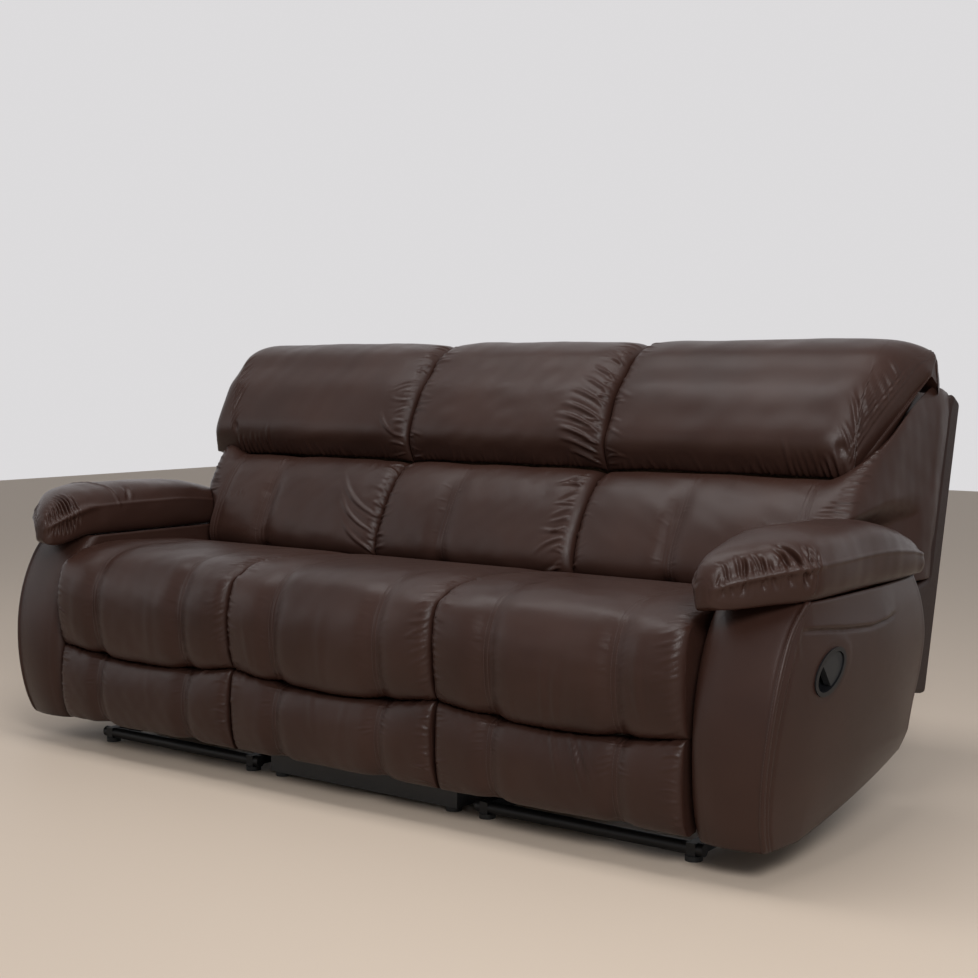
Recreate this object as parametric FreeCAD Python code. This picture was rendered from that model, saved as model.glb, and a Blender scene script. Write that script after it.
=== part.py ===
# Three-seat reclining sofa: two end seats that recline and a fixed seat between them.
# Sizes are in millimetres. X runs to the right as seen from the front, Y to the back, Z up.
# While the pieces are drawn, y = 0 is the crease between the seats' front rolls and the
# footrests, because every depth is measured from there. keep() then moves each piece to the
# sofa's own frame: origin on the floor, in the middle of the width and of the depth.
import FreeCAD, Part
import math
import os

V = FreeCAD.Vector
os.makedirs("parts", exist_ok=True)

# Clearances
FIT = 0.3                   # soft pieces and covers stay this far from their neighbours
RUNNING = 0.05              # radial clearance of a pin in its link

# Seats, the same for all three
SEAT_PITCH = 580.0          # width of one seat, from crease to crease
SEAT_GAP = 2.0              # from that crease to the side of a cushion
CREASE_Z = 256.0            # height of the crease between front roll and footrest at its ends
CREASE_DIP = 22.0           # how far the crease sags in the middle of a seat
SEAT_TOP = 498.0            # top of the seat's crown
ROLL_OUT = 33.0             # the front roll stands this far ahead of the crease
ROLL_BACK = 60.0            # the front roll ends here, at the fascia board
SEAT_REAR = 506.0
SEAT_REAR_Z = 431.0         # top of the seat cushion's rear face, under the back
EDGE_DRAW = 24.0            # the leather is drawn in this far at a cushion's ends
CHANNEL_AT = 146.0          # the sewn channels lie this far each side of a seat's middle
CHANNEL_DEPTH = 13.0
CHANNEL_REACH = 42.0        # a channel pulls the leather down this far to each side
EDGE_ROUND = 66.0           # and the ends are rounded off over this length
STATION = 24.0              # spacing of the sections that a cushion is drawn through
PAD_BOTTOM = 72.0           # lower edge of the footrest pads
PAD_BACK = 48.0             # rear face of the footrest pads
PAD_INSET = 3.0             # the pads are this much narrower at each end
PAD_OUT = 24.0              # the pads stand this far ahead of the crease

# Timber seat boxes
BOX_HALF = 205.0            # half the width of an end seat's box
MIDDLE_BOX_INSET = 20.0     # the middle seat's box is narrower than its cushion by this at each end
BOX_BOTTOM = 295.0
BOX_TOP = 385.0
BOX_REAR = 575.0
BOARD = 18.0                # thickness of the boards
MIDDLE_BASE_SET = 20.0      # the middle seat's base stands this far behind its fascia board
MIDDLE_RAIL_TOP = 120.0
FOOT_BOARD_INSET = 20.0     # the boards behind the front pads are narrower than the seat by this at each end
FOOT_BOARD_EDGE = 12.0      # and end this far above the pads' lower edge
CLEAT = 40.0                # width of the two uprights that hold the middle seat's lower board
CLEAT_INSET = 20.0
SPRING_WIRE = 3.8
SPRING_BEND = 11.0          # radius of a spring's bends
SPRING_SPAN = 34.0          # straight length between bends
SPRINGS = 4

# Steel base under an end seat
GLIDE_HEIGHT = 10.0
GLIDE_R = 17.0
RAIL_WIDTH = 20.0
RAIL_HEIGHT = 25.0
BASE_FRONT = 98.0
BASE_REAR = 640.0
TUBE_R = 12.5
TUBE_OVERHANG = 14.0        # the front tube runs past the rails
UPRIGHT_TOP = 266.0
STUB_BOTTOM = 130.0         # the stubs that carry the arms and the middle seat
STUB_HEIGHT = 40.0
STUB_WIDTH = 30.0
STUB_YS = (320.0, 520.0)
BOLT_R = 4.0
BOLT_HEAD = 6.0             # height of a bolt's head, which is 3 mm wider than its shank all round

# Linkage of an end seat, in layers of plate that step outwards from the seat box
PLATE = 4.0                 # seat rails
LINK = 3.0                  # links
LAYER = 5.0                 # from one link to the next
LINK_WIDTH = 24.0
PIN_R = 4.0
HEAD_R = 7.0
HEAD = 1.4
CRANK_PIVOT = (160.0, 345.0)
CRANK_REACH = (130.0, -210.0)   # from the crank's pivot to its pin in the cross link
KNEE_REACH = (120.0, -65.0)     # the crank is bent here, to pass under the front roll
OUTER_DROP = 40.0               # from that pin down to the pin of the outer link
PAD_PIVOT = (85.0, 230.0)       # where the cross link carries the footrest bracket
PIVOT_SPAN = 100.0              # from the crank's pivot to the rear link's
DRIVE_TUBE_R = 10.0
SWING_PIVOTS = ((360.0, 250.0), (520.0, 250.0))
SWING_LINK = 90.0
SWING_LEAN = 17.5               # degrees that the swing links lean back at rest
BACK_PIVOT = (620.0, 300.0)
BACK_PIN_R = 6.0
FOOT_BOARD = 12.0

# Backs
BACK_Y = 460.0              # foot of the back's front face
BACK_Z = 464.0
BACK_LEAN = 30.0            # degrees from upright
LUMBAR_TOP = 278.0          # along the lean
LUMBAR_CROWN = 26.0
RIGHT_CHANNEL = -30.0       # each back's sewn channel, from its middle
CENTRE_CHANNEL = -70.0
LEFT_CHANNEL = -100.0
WING_CHANNEL = 22.0         # the seam beside the wing, from the cushion's end
HEADREST_FOOT = 283.0
HEADREST_TOP = 640.0
HEADREST_CROWN = 44.0
CUSHION_DEPTH = 95.0        # from the front face back to the frame
HEADREST_REAR = 186.0       # the pillow rolls over the top down to here, behind the front face
SLANT_START = 22.0          # an end pillow's outer end starts to slant this far inside the seat's edge
SLANT_RISE = 205.0          # and its lower edge climbs this far along the lean
FRAME_TOP = 560.0
BACK_PANEL = 8.0
GUSSET = 15.0
BACK_RAIL = 45.0            # height of the rails between the gussets
BRACKET_PLATE = 4.0
BRACKET_WIDTH = 36.0
BRACKET_HIP = (30.0, 120.0)        # the bracket's bends, from the hinge
BRACKET_SHOULDER = (110.0, 230.0)
SHELL = 6.0
SHELL_TOP_REAR = (985.0, 843.0)
SHELL_TOP_FRONT = (945.0, 866.0)
SHELL_FOOT_REAR = (820.0, 222.0)
SHELL_FOOT_FRONT = (722.0, 238.0)
SHELL_STRIP = 60.0          # width of the shell's side strip behind the wing
SHELL_HEEL = (80.0, 0.0)    # the shell's front edge passes here below the seat, from the hinge
SHELL_KNEE = (-45.0, 100.0)
WING_OUT = 115.0            # the end backs reach this far past the seat, behind the arms
WING_FOOT = 472.0
SHELL_SHOULDER = 834.0      # above this the shell's side slopes in to its top
WING_LEVELS = (
    # height, depth ahead of the shell's rear face beside the cushion, and at the outer side
    (WING_FOOT, 224.5, 100.5),
    (520.0, 253.0, 100.0),
    (590.0, 286.0, 101.0),
    (650.0, 321.5, 102.5),
    (694.0, 323.5, 104.5),
    (712.0, 234.0, 105.0),
    (800.0, 206.5, 111.5),
    (SHELL_SHOULDER, 195.5, 107.5),
    (870.0, 184.0, 102.0),
    (905.0, 173.5, 93.5),
)

# Arms
ARM_CLEAR = 5.0             # from the seat to the arm
ARM_TOP = 508.0             # top of the arm body, under its pillow
ARM_SKIN = 24.0             # foam and leather over the arm's frame
ARM_FOOT = 66.0             # lower edge at the front
ARM_FOOT_REAR = 150.0       # and where it has climbed to at the rear
ARM_FRONT_POST = 100.0      # the frame's front post reaches back to here
ARM_REAR_POST = 555.0       # and its rear post starts here, behind the bolts
ARM_RAIL = 40.0             # height of its rails
ARM_LEVELS = (
    # height, front edge, rear edge, width at the front, width at the rear, bulge of the side
    (40.0, 36.0, 606.0, 138.0, 142.0, 10.0),
    (110.0, 6.0, 590.0, 145.0, 158.0, 19.0),
    (180.0, -7.0, 577.0, 152.0, 173.0, 24.0),
    (250.0, -8.5, 582.0, 159.0, 182.0, 26.0),
    (320.0, 0.0, 608.0, 165.0, 186.0, 26.0),
    (390.0, 20.0, 629.0, 169.0, 186.0, 24.0),
    (455.0, 53.0, 626.0, 172.0, 179.0, 21.0),
    (508.0, 100.0, 600.0, 179.0, 171.0, 14.0),
)
PILLOW_FRONT = -50.0
PILLOW_MIDDLE = 98.0        # the pillow's middle lies this far outside the arm's inner face
PILLOW_STATIONS = (
    # depth, half width, lower face above the arm, upper face above the arm
    (-50.0, 36.0, 13.0, 38.0),
    (-42.0, 60.0, 6.0, 52.0),
    (-22.0, 81.0, 2.0, 68.0),
    (10.0, 93.0, 1.0, 87.0),
    (50.0, 99.0, 0.5, 104.0),
    (95.0, 102.0, 0.3, 115.0),
    (145.0, 103.0, 0.3, 121.0),
    (200.0, 103.0, 0.3, 123.0),
    (260.0, 103.0, 0.3, 123.5),
    (320.0, 103.0, 0.3, 123.5),
    (380.0, 103.0, 0.3, 122.0),
    (440.0, 102.0, 0.3, 118.0),
    (495.0, 100.0, 0.3, 110.0),
    (545.0, 96.0, 0.3, 98.0),
    (582.0, 86.0, 0.5, 82.0),
    (606.0, 66.0, 5.0, 58.0),
)

# Release handle, in the outer side of an arm
CUP_CENTRE = (168.0, 376.0)
CUP_OUT = 192.0             # the arm's surface there, from its inner face
CUP_TURN = 6.3              # degrees that the cup faces forwards, as the bulged side does
CUP_LENGTH = 100.0
CUP_WIDTH = 58.0
CUP_TILT = 33.0             # degrees that the cup's long axis rises towards the back
CUP_DEPTH = 22.0
CUP_WALL = 2.0
BEZEL = 6.0                 # thickness of the rim
BEZEL_SUNK = 3.0            # how deep it lies in the leather
BEZEL_WIDTH = 6.0
PADDLE = 5.0
PADDLE_EDGE = 12.0          # the paddle's free edge lies this far below the cup's middle
PADDLE_PIVOT = 36.0         # and its pin this far above
PADDLE_PIN_R = 2.0
PADDLE_LIP = 9.0

# Worked out from the sizes above
SEAT_HALF = SEAT_PITCH / 2 - SEAT_GAP
MIDDLE_BOX_HALF = SEAT_HALF - MIDDLE_BOX_INSET
BEYOND = SEAT_PITCH         # a cutting block reaches this far past what it cuts
CUSHION_BASE = BOX_TOP + SPRING_WIRE + 2 * FIT
ARM_IN = 1.5 * SEAT_PITCH + ARM_CLEAR
BACK_EDGE = SEAT_HALF + WING_OUT
FASCIA_Y = ROLL_BACK + FIT
CRANK_PIN = (CRANK_PIVOT[0] + CRANK_REACH[0], CRANK_PIVOT[1] + CRANK_REACH[1])
OUTER_PIN = (CRANK_PIN[0], CRANK_PIN[1] - OUTER_DROP)
PAD_PIVOT_LOW = (PAD_PIVOT[0], PAD_PIVOT[1] - OUTER_DROP)
CROSS_LENGTH = math.dist(CRANK_PIN, PAD_PIVOT)
CROSS_WAY = ((CRANK_PIN[0] - PAD_PIVOT[0]) / CROSS_LENGTH, (CRANK_PIN[1] - PAD_PIVOT[1]) / CROSS_LENGTH)
REAR_PIVOT = (CRANK_PIVOT[0] + PIVOT_SPAN * CROSS_WAY[0], CRANK_PIVOT[1] + PIVOT_SPAN * CROSS_WAY[1])
REAR_PIN = (CRANK_PIN[0] + PIVOT_SPAN * CROSS_WAY[0], CRANK_PIN[1] + PIVOT_SPAN * CROSS_WAY[1])
MIDDLE_BASE_FRONT = FASCIA_Y + BOARD + MIDDLE_BASE_SET
DEPTH_MIDDLE = (PILLOW_FRONT + SHELL_TOP_REAR[0]) / 2

# Each layer is the distance from the seat's middle to the inner face of its plate
RAIL_LAYER = BOX_HALF
LAYER_1 = RAIL_LAYER + LAYER
LAYER_2 = LAYER_1 + LAYER
LAYER_3 = LAYER_2 + LAYER
LAYER_4 = LAYER_3 + LAYER
UPRIGHT_LAYER = LAYER_4 + LAYER
BASE_LAYER = UPRIGHT_LAYER + LINK


def box(x0, x1, y0, y1, z0, z1):
    """A block between two corners."""
    return Part.makeBox(abs(x1 - x0), y1 - y0, z1 - z0, V(min(x0, x1), y0, z0))


def rod(x0, x1, spot, radius):
    """A round bar along X through the point spot = (y, z)."""
    return Part.makeCylinder(radius, abs(x1 - x0), V(min(x0, x1), *spot), V(1, 0, 0))


def outline(steps, place):
    """A closed wire. A step is a point, or the middle and end points of an arc."""
    here = place(steps[0])
    first = here
    edges = []
    for step in steps[1:]:
        if isinstance(step[0], tuple):
            end = place(step[1])
            edges.append(Part.Arc(here, place(step[0]), end).toShape())
        else:
            end = place(step)
            edges.append(Part.makeLine(here, end))
        here = end
    if here.distanceToPoint(first) > 1e-6:
        edges.append(Part.makeLine(here, first))
    return Part.Wire(edges)


def slab(steps, x0, x1):
    """A plate along X whose side view is the outline of (y, z) points."""
    face = Part.Face(outline(steps, lambda p: V(min(x0, x1), p[0], p[1])))
    return face.extrude(V(abs(x1 - x0), 0, 0))


def drawn_in(points, inset):
    """The polygon with every side moved inwards by the inset."""
    area = sum(a[0] * b[1] - b[0] * a[1] for a, b in zip(points, points[1:] + points[:1]))
    way = 1 if area > 0 else -1
    sides = []
    for a, b in zip(points, points[1:] + points[:1]):
        length = math.dist(a, b)
        normal = (-way * (b[1] - a[1]) / length, way * (b[0] - a[0]) / length)
        sides.append((normal, normal[0] * a[0] + normal[1] * a[1] + inset))
    found = []
    for (n, c), (m, d) in zip(sides[-1:] + sides[:-1], sides):
        cross = n[0] * m[1] - n[1] * m[0]
        found.append(((c * m[1] - d * n[1]) / cross, (n[0] * d - m[0] * c) / cross))
    return found


def joined(pieces):
    """One solid made of pieces that touch or overlap."""
    if len(pieces) == 1:
        return pieces[0]
    return pieces[0].fuse(pieces[1:]).removeSplitter()


def bar(points, x0, x1, width=LINK_WIDTH):
    """A flat link with round ends that runs through the points."""
    parts = []
    for (ya, za), (yb, zb) in zip(points, points[1:]):
        length = math.dist((ya, za), (yb, zb))
        along = ((yb - ya) / length, (zb - za) / length)
        side = (-along[1] * width / 2, along[0] * width / 2)
        tip = (along[0] * width / 2, along[1] * width / 2)
        parts.append(slab([
            (ya + side[0], za + side[1]),
            (yb + side[0], zb + side[1]),
            ((yb + tip[0], zb + tip[1]), (yb - side[0], zb - side[1])),
            (ya - side[0], za - side[1]),
            ((ya - tip[0], za - tip[1]), (ya + side[0], za + side[1])),
        ], x0, x1))
    return joined(parts)


def across(sign, distance):
    """The x of a point at a distance from the right seat's middle, outwards if sign is 1."""
    return SEAT_PITCH + sign * distance


def layer_bar(sign, layer, points, width=LINK_WIDTH, thickness=LINK):
    return bar(points, across(sign, layer), across(sign, layer + thickness), width)


def layer_rod(sign, start, end, spot, radius):
    return rod(across(sign, start), across(sign, end), spot, radius)


def riveted(sign, body, spot, start, layer, radius=PIN_R, thickness=LINK):
    """Adds a headed pin that leaves a plate at start and passes through the link in a layer."""
    if layer > start:
        tip = layer + thickness + FIT
        head = layer_rod(sign, tip, tip + HEAD, spot, radius + HEAD_R - PIN_R)
    else:
        tip = layer - FIT
        head = layer_rod(sign, tip, tip - HEAD, spot, radius + HEAD_R - PIN_R)
    return joined([body, layer_rod(sign, start, tip, spot, radius), head])


def bored(sign, body, spot, layer, radius=PIN_R, thickness=LINK):
    """Cuts the running hole for a pin."""
    return body.cut(layer_rod(sign, layer - 1, layer + thickness + 1, spot, radius + RUNNING))


def lean(along, back):
    """The (y, z) of a point up a back's front face and behind it."""
    turn = math.radians(BACK_LEAN)
    return (
        BACK_Y + along * math.sin(turn) + back * math.cos(turn),
        BACK_Z + along * math.cos(turn) - back * math.sin(turn),
    )


def crease_height(x):
    """Height of the crease between front roll and footrest at x from the seat's middle."""
    return CREASE_Z - CREASE_DIP * max(0.0, 1 - (x / SEAT_HALF) ** 2)


def stations(left, right, channels, edge_draw, channel_depth):
    """Pairs of x and how far the leather is drawn in there, for a cushion with sewn channels."""
    marks = [left] + sorted(channels) + [right]
    places = [left]
    for start, end in zip(marks, marks[1:]):
        steps = max(2, round((end - start) / STATION))
        places += [start + (end - start) * step / steps for step in range(1, steps + 1)]
    found = []
    for x in places:
        from_edge = min(x - left, right - x)
        draw = edge_draw * max(0.0, 1 - from_edge / EDGE_ROUND) ** 2
        for channel in channels:
            draw += channel_depth * max(0.0, 1 - abs(x - channel) / CHANNEL_REACH) ** 2
        found.append((x, draw))
    return found


def lofted(sections):
    """A smooth solid through closed wires."""
    return Part.makeLoft(sections, True, False)


def mirrored(shape):
    return shape.mirror(V(0, 0, 0), V(1, 0, 0))


def keep(name, shape):
    """Writes one node, moved to the sofa's own frame."""
    moved = shape.copy()
    moved.translate(V(0, -DEPTH_MIDDLE, 0))
    moved.exportStep("parts/" + name + ".step")
    solids = moved.Solids
    state = "valid" if moved.isValid() else "NOT VALID"
    print(f"{name:28s} {len(solids):3d} solids {sum(s.Volume for s in solids) / 1e6:9.3f} litres {state}")


def keep_pair(name, shape):
    """Writes the right-hand node and its mirror image."""
    keep("right_" + name, shape)
    keep("left_" + name, mirrored(shape))


def group(pieces):
    return Part.makeCompound(pieces)


# Seat and footrest upholstery

def seat_cushion(middle):
    """A seat with its front roll, crowned panels and two sewn channels."""
    sections = []
    for x, draw in stations(-SEAT_HALF, SEAT_HALF, (-CHANNEL_AT, CHANNEL_AT), EDGE_DRAW, CHANNEL_DEPTH):
        foot = crease_height(x) + FIT
        mid_roll = foot + 0.36 * (SEAT_TOP - foot)
        sections.append(outline([
            (-8 + 0.4 * draw, foot),
            ((-ROLL_OUT + draw, mid_roll), (-12 + draw, SEAT_TOP - 88)),
            ((14 + 0.8 * draw, SEAT_TOP - 30 - 0.6 * draw), (80, SEAT_TOP - 3 - draw)),
            ((250, SEAT_TOP - draw), (446, SEAT_TOP - 26 - 0.5 * draw)),
            (SEAT_REAR, SEAT_REAR_Z),
            (SEAT_REAR, CUSHION_BASE),
            (ROLL_BACK, CUSHION_BASE),
            (ROLL_BACK, foot),
        ], lambda p: V(middle + x, p[0], p[1])))
    return lofted(sections)


def front_pad(middle):
    """The padded panel under a seat, with the same two channels."""
    sections = []
    edge = SEAT_HALF - PAD_INSET
    for x, draw in stations(-edge, edge, (-CHANNEL_AT, CHANNEL_AT), 0.8 * EDGE_DRAW, 0.8 * CHANNEL_DEPTH):
        top = crease_height(x) - 4
        sections.append(outline([
            (-6 + 0.4 * draw, top),
            ((-PAD_OUT + draw, (top + PAD_BOTTOM) / 2 + 8), (0.4 * draw, PAD_BOTTOM + 12)),
            ((16, PAD_BOTTOM), (PAD_BACK, PAD_BOTTOM + 8)),
            (PAD_BACK, top),
        ], lambda p: V(middle + x, p[0], p[1])))
    return lofted(sections)


# Timber seat boxes and their springs

def seat_box(middle, half):
    """Four boards, with the fascia board that the front roll is stuffed against."""
    floor = CREASE_Z + FIT
    outer = box(middle - half, middle + half, FASCIA_Y, BOX_REAR, BOX_BOTTOM, BOX_TOP)
    well = box(middle - half + BOARD, middle + half - BOARD, FASCIA_Y + BOARD, BOX_REAR - BOARD,
               BOX_BOTTOM - 1, BOX_TOP + 1)
    fascia = box(middle - half, middle + half, FASCIA_Y, FASCIA_Y + BOARD, floor, BOX_BOTTOM)
    return joined([outer.cut(well), fascia])


def seat_springs(middle, half):
    """Sinuous wires from the front board to the rear board, lying on both."""
    height = BOX_TOP + FIT + SPRING_WIRE / 2
    pitch = 2 * (half - BOARD) / SPRINGS
    first = FASCIA_Y + BOARD / 2
    bends = int((BOX_REAR - BOARD / 2 - first) / (2 * SPRING_BEND))
    wires = []
    for number in range(SPRINGS):
        line = middle + pitch * (number + 0.5 - SPRINGS / 2)
        y = first
        side = 1
        here = V(line - SPRING_SPAN / 2, y, height)
        edges = []
        for _ in range(bends):
            turn = V(line + side * SPRING_SPAN / 2, y, height)
            after = V(turn.x, y + 2 * SPRING_BEND, height)
            bulge = V(turn.x + side * SPRING_BEND, y + SPRING_BEND, height)
            edges.append(Part.makeLine(here, turn))
            edges.append(Part.Arc(turn, bulge, after).toShape())
            here = after
            y = after.y
            side = -side
        path = Part.Wire(edges)
        start = Part.Wire(Part.makeCircle(SPRING_WIRE / 2, path.Vertexes[0].Point, V(1, 0, 0)))
        wires.append(path.makePipeShell([start], True, False))
    return group(wires)


# Links and plates of the right-hand seat. Each function returns its pieces on both sides.

def both_sides(make):
    return [make(-1), make(1)]


def swing_end(pivot):
    """Where a swing link carries the seat, at rest."""
    turn = math.radians(SWING_LEAN)
    return (pivot[0] + SWING_LINK * math.sin(turn), pivot[1] - SWING_LINK * math.cos(turn))


def seat_rail(sign):
    """Steel plate screwed to the seat box. It carries every pivot of the seat."""
    front_ear, rear_ear = [swing_end(pivot) for pivot in SWING_PIVOTS]
    half = LINK_WIDTH / 2
    top = BOX_TOP - 2 * FIT
    plate = slab([
        (CRANK_PIVOT[0] - 22, top),
        (BACK_PIVOT[0] - 60, top),
        (BACK_PIVOT[0], BACK_PIVOT[1] + half + 6),
        ((BACK_PIVOT[0] + half + 6, BACK_PIVOT[1]), (BACK_PIVOT[0], BACK_PIVOT[1] - half - 6)),
        (rear_ear[0] + 30, BACK_PIVOT[1] - half),
        (rear_ear[0] + half, rear_ear[1]),
        ((rear_ear[0], rear_ear[1] - half), (rear_ear[0] - half, rear_ear[1])),
        (rear_ear[0] - 34, REAR_PIVOT[1]),
        (front_ear[0] + 34, REAR_PIVOT[1]),
        (front_ear[0] + half, front_ear[1]),
        ((front_ear[0], front_ear[1] - half), (front_ear[0] - half, front_ear[1])),
        (front_ear[0] - 24, REAR_PIVOT[1]),
        (REAR_PIVOT[0] + half, REAR_PIVOT[1]),
        ((REAR_PIVOT[0], REAR_PIVOT[1] - half), (REAR_PIVOT[0] - half, REAR_PIVOT[1])),
        (CRANK_PIVOT[0] + half, CRANK_PIVOT[1] - half - 6),
        (CRANK_PIVOT[0] - 22, CRANK_PIVOT[1] - half - 6),
    ], across(sign, RAIL_LAYER), across(sign, RAIL_LAYER + PLATE))
    plate = bored(sign, plate, CRANK_PIVOT, RAIL_LAYER, DRIVE_TUBE_R, PLATE)
    outer = RAIL_LAYER + PLATE
    plate = riveted(sign, plate, REAR_PIVOT, outer, LAYER_1)
    plate = riveted(sign, plate, BACK_PIVOT, outer, LAYER_1, BACK_PIN_R, BRACKET_PLATE)
    for ear in (front_ear, rear_ear):
        spacer = layer_rod(sign, outer, LAYER_4 - FIT, ear, HEAD_R + 1)
        plate = riveted(sign, joined([plate, spacer]), ear, outer, LAYER_4)
    return plate


def swing_link(sign, pivot):
    """Hangs the seat's rail from the base upright."""
    link = layer_bar(sign, LAYER_4, [pivot, swing_end(pivot)])
    return bored(sign, bored(sign, link, pivot, LAYER_4), swing_end(pivot), LAYER_4)


def rear_link(sign):
    """Follows the crank, and keeps the cross link at one slope."""
    link = bored(sign, layer_bar(sign, LAYER_1, [REAR_PIVOT, REAR_PIN]), REAR_PIVOT, LAYER_1)
    return riveted(sign, link, REAR_PIN, LAYER_1 + LINK, LAYER_2)


def cross_link(sign):
    """Carries the footrest forward without turning."""
    link = layer_bar(sign, LAYER_2, [REAR_PIN, PAD_PIVOT])
    for spot in (REAR_PIN, CRANK_PIN, PAD_PIVOT):
        link = bored(sign, link, spot, LAYER_2)
    return link


def crank(sign):
    """Bent plate on the end of the drive tube, with pins for the cross and outer links."""
    knee = (CRANK_PIVOT[0] + KNEE_REACH[0], CRANK_PIVOT[1] + KNEE_REACH[1])
    plate = layer_bar(sign, LAYER_3, [CRANK_PIVOT, knee, CRANK_PIN, OUTER_PIN])
    plate = riveted(sign, plate, CRANK_PIN, LAYER_3, LAYER_2)
    return riveted(sign, plate, OUTER_PIN, LAYER_3 + LINK, LAYER_4)


def outer_link(sign):
    """Turns the footrest bracket together with the crank."""
    link = layer_bar(sign, LAYER_4, [OUTER_PIN, PAD_PIVOT_LOW])
    return bored(sign, bored(sign, link, OUTER_PIN, LAYER_4), PAD_PIVOT_LOW, LAYER_4)


def foot_bracket(sign):
    """Angle plate that joins the two links to the footrest board."""
    face = PAD_BACK + FIT + FOOT_BOARD
    web = layer_bar(sign, LAYER_3, [PAD_PIVOT, PAD_PIVOT_LOW])
    arm = box(across(sign, LAYER_3), across(sign, LAYER_3 + LINK), face, PAD_PIVOT[0],
              PAD_PIVOT_LOW[1] - LINK_WIDTH / 2, PAD_PIVOT[1])
    flange = box(across(sign, LAYER_3 - 26), across(sign, LAYER_3 + LINK), face, face + LINK,
                 PAD_PIVOT_LOW[1] - 60, PAD_PIVOT[1])
    bracket = joined([web, arm, flange])
    bracket = riveted(sign, bracket, PAD_PIVOT, LAYER_3, LAYER_2)
    return riveted(sign, bracket, PAD_PIVOT_LOW, LAYER_3 + LINK, LAYER_4)


def drive_tube():
    """Turns both cranks together, through bushes in the rails and holes in the seat box."""
    return rod(across(-1, LAYER_3 + LINK), across(1, LAYER_3 + LINK), CRANK_PIVOT, DRIVE_TUBE_R)


def pad_board(middle):
    """Plywood behind the padding of a footrest or of the middle front panel."""
    edge = SEAT_HALF - FOOT_BOARD_INSET
    return box(middle - edge, middle + edge, PAD_BACK + FIT, PAD_BACK + FIT + FOOT_BOARD,
               PAD_BOTTOM + FOOT_BOARD_EDGE, CREASE_Z - CREASE_DIP - 6)


# Steel bases, feet and bolts

def base_side(sign):
    """One side rail with its upright, swing pivots and stubs."""
    x0 = across(sign, BASE_LAYER)
    x1 = across(sign, BASE_LAYER + RAIL_WIDTH)
    rail = box(x0, x1, BASE_FRONT, BASE_REAR, GLIDE_HEIGHT, GLIDE_HEIGHT + RAIL_HEIGHT)
    front, rear = SWING_PIVOTS
    reach = LINK_WIDTH / 2 + 4
    upright = slab([
        (front[0] - reach, GLIDE_HEIGHT),
        (rear[0] + reach, GLIDE_HEIGHT),
        (rear[0] + reach, UPRIGHT_TOP),
        (front[0] - reach, UPRIGHT_TOP),
    ], across(sign, UPRIGHT_LAYER), x0)
    pieces = [rail, upright]
    for y in STUB_YS:
        post = box(x0, x1, y, y + STUB_WIDTH, GLIDE_HEIGHT + RAIL_HEIGHT, STUB_BOTTOM + STUB_HEIGHT)
        end = ARM_IN - FIT if sign > 0 else SEAT_PITCH / 2 - ARM_CLEAR + FIT
        stub = box(x0, end, y, y + STUB_WIDTH, STUB_BOTTOM, STUB_BOTTOM + STUB_HEIGHT)
        pieces += [post, stub]
    side = joined(pieces)
    for pivot in SWING_PIVOTS:
        side = riveted(sign, side, pivot, UPRIGHT_LAYER, LAYER_4)
    return side


def base_frame():
    """Welded frame under an end seat."""
    over = BASE_LAYER + RAIL_WIDTH + TUBE_OVERHANG
    height = GLIDE_HEIGHT + TUBE_R
    front = rod(across(-1, over), across(1, over), (BASE_FRONT + TUBE_R, height), TUBE_R)
    inner = BASE_LAYER + RAIL_WIDTH / 2
    rear = rod(across(-1, inner), across(1, inner), (BASE_REAR - TUBE_R - 20, height), TUBE_R)
    return joined(both_sides(base_side) + [front, rear])


def middle_base():
    """Timber box frame that holds the middle seat off the floor."""
    edge = MIDDLE_BOX_HALF - BOARD
    pieces = []
    for sign in (-1, 1):
        side = sign * MIDDLE_BOX_HALF
        pieces.append(box(sign * edge, side, MIDDLE_BASE_FRONT, BOX_REAR, GLIDE_HEIGHT, BOX_BOTTOM))
    for y in (MIDDLE_BASE_FRONT, BOX_REAR - BOARD):
        pieces.append(box(-edge, edge, y, y + BOARD, GLIDE_HEIGHT, MIDDLE_RAIL_TOP))
    return joined(pieces)


def middle_seat_box():
    """The middle seat's box, with the board behind its front panel."""
    pieces = [seat_box(0.0, MIDDLE_BOX_HALF), pad_board(0.0)]
    for sign in (-1, 1):
        outer = sign * (MIDDLE_BOX_HALF - CLEAT_INSET)
        pieces.append(box(outer - sign * CLEAT, outer, FASCIA_Y, FASCIA_Y + BOARD,
                          PAD_BOTTOM + FOOT_BOARD_EDGE, CREASE_Z + FIT))
    return joined(pieces)


def glides():
    """Plastic feet under the corners of the three bases."""
    feet = []
    rows = (BASE_FRONT + GLIDE_R - 4, BASE_REAR - GLIDE_R)
    for side in (-1, 1):
        for sign in (-1, 1):
            for y in rows:
                x = side * across(sign, BASE_LAYER + RAIL_WIDTH / 2)
                feet.append(Part.makeCylinder(GLIDE_R, GLIDE_HEIGHT, V(x, y, 0)))
        for y in (MIDDLE_BASE_FRONT + GLIDE_R, BOX_REAR - GLIDE_R):
            feet.append(Part.makeCylinder(GLIDE_R, GLIDE_HEIGHT, V(side * (MIDDLE_BOX_HALF - BOARD - 4), y, 0)))
    return group(feet)


def bolt_spots():
    """Height and depths of the bolts through the stubs."""
    return [(y + STUB_WIDTH / 2, STUB_BOTTOM + STUB_HEIGHT / 2) for y in STUB_YS]


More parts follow.
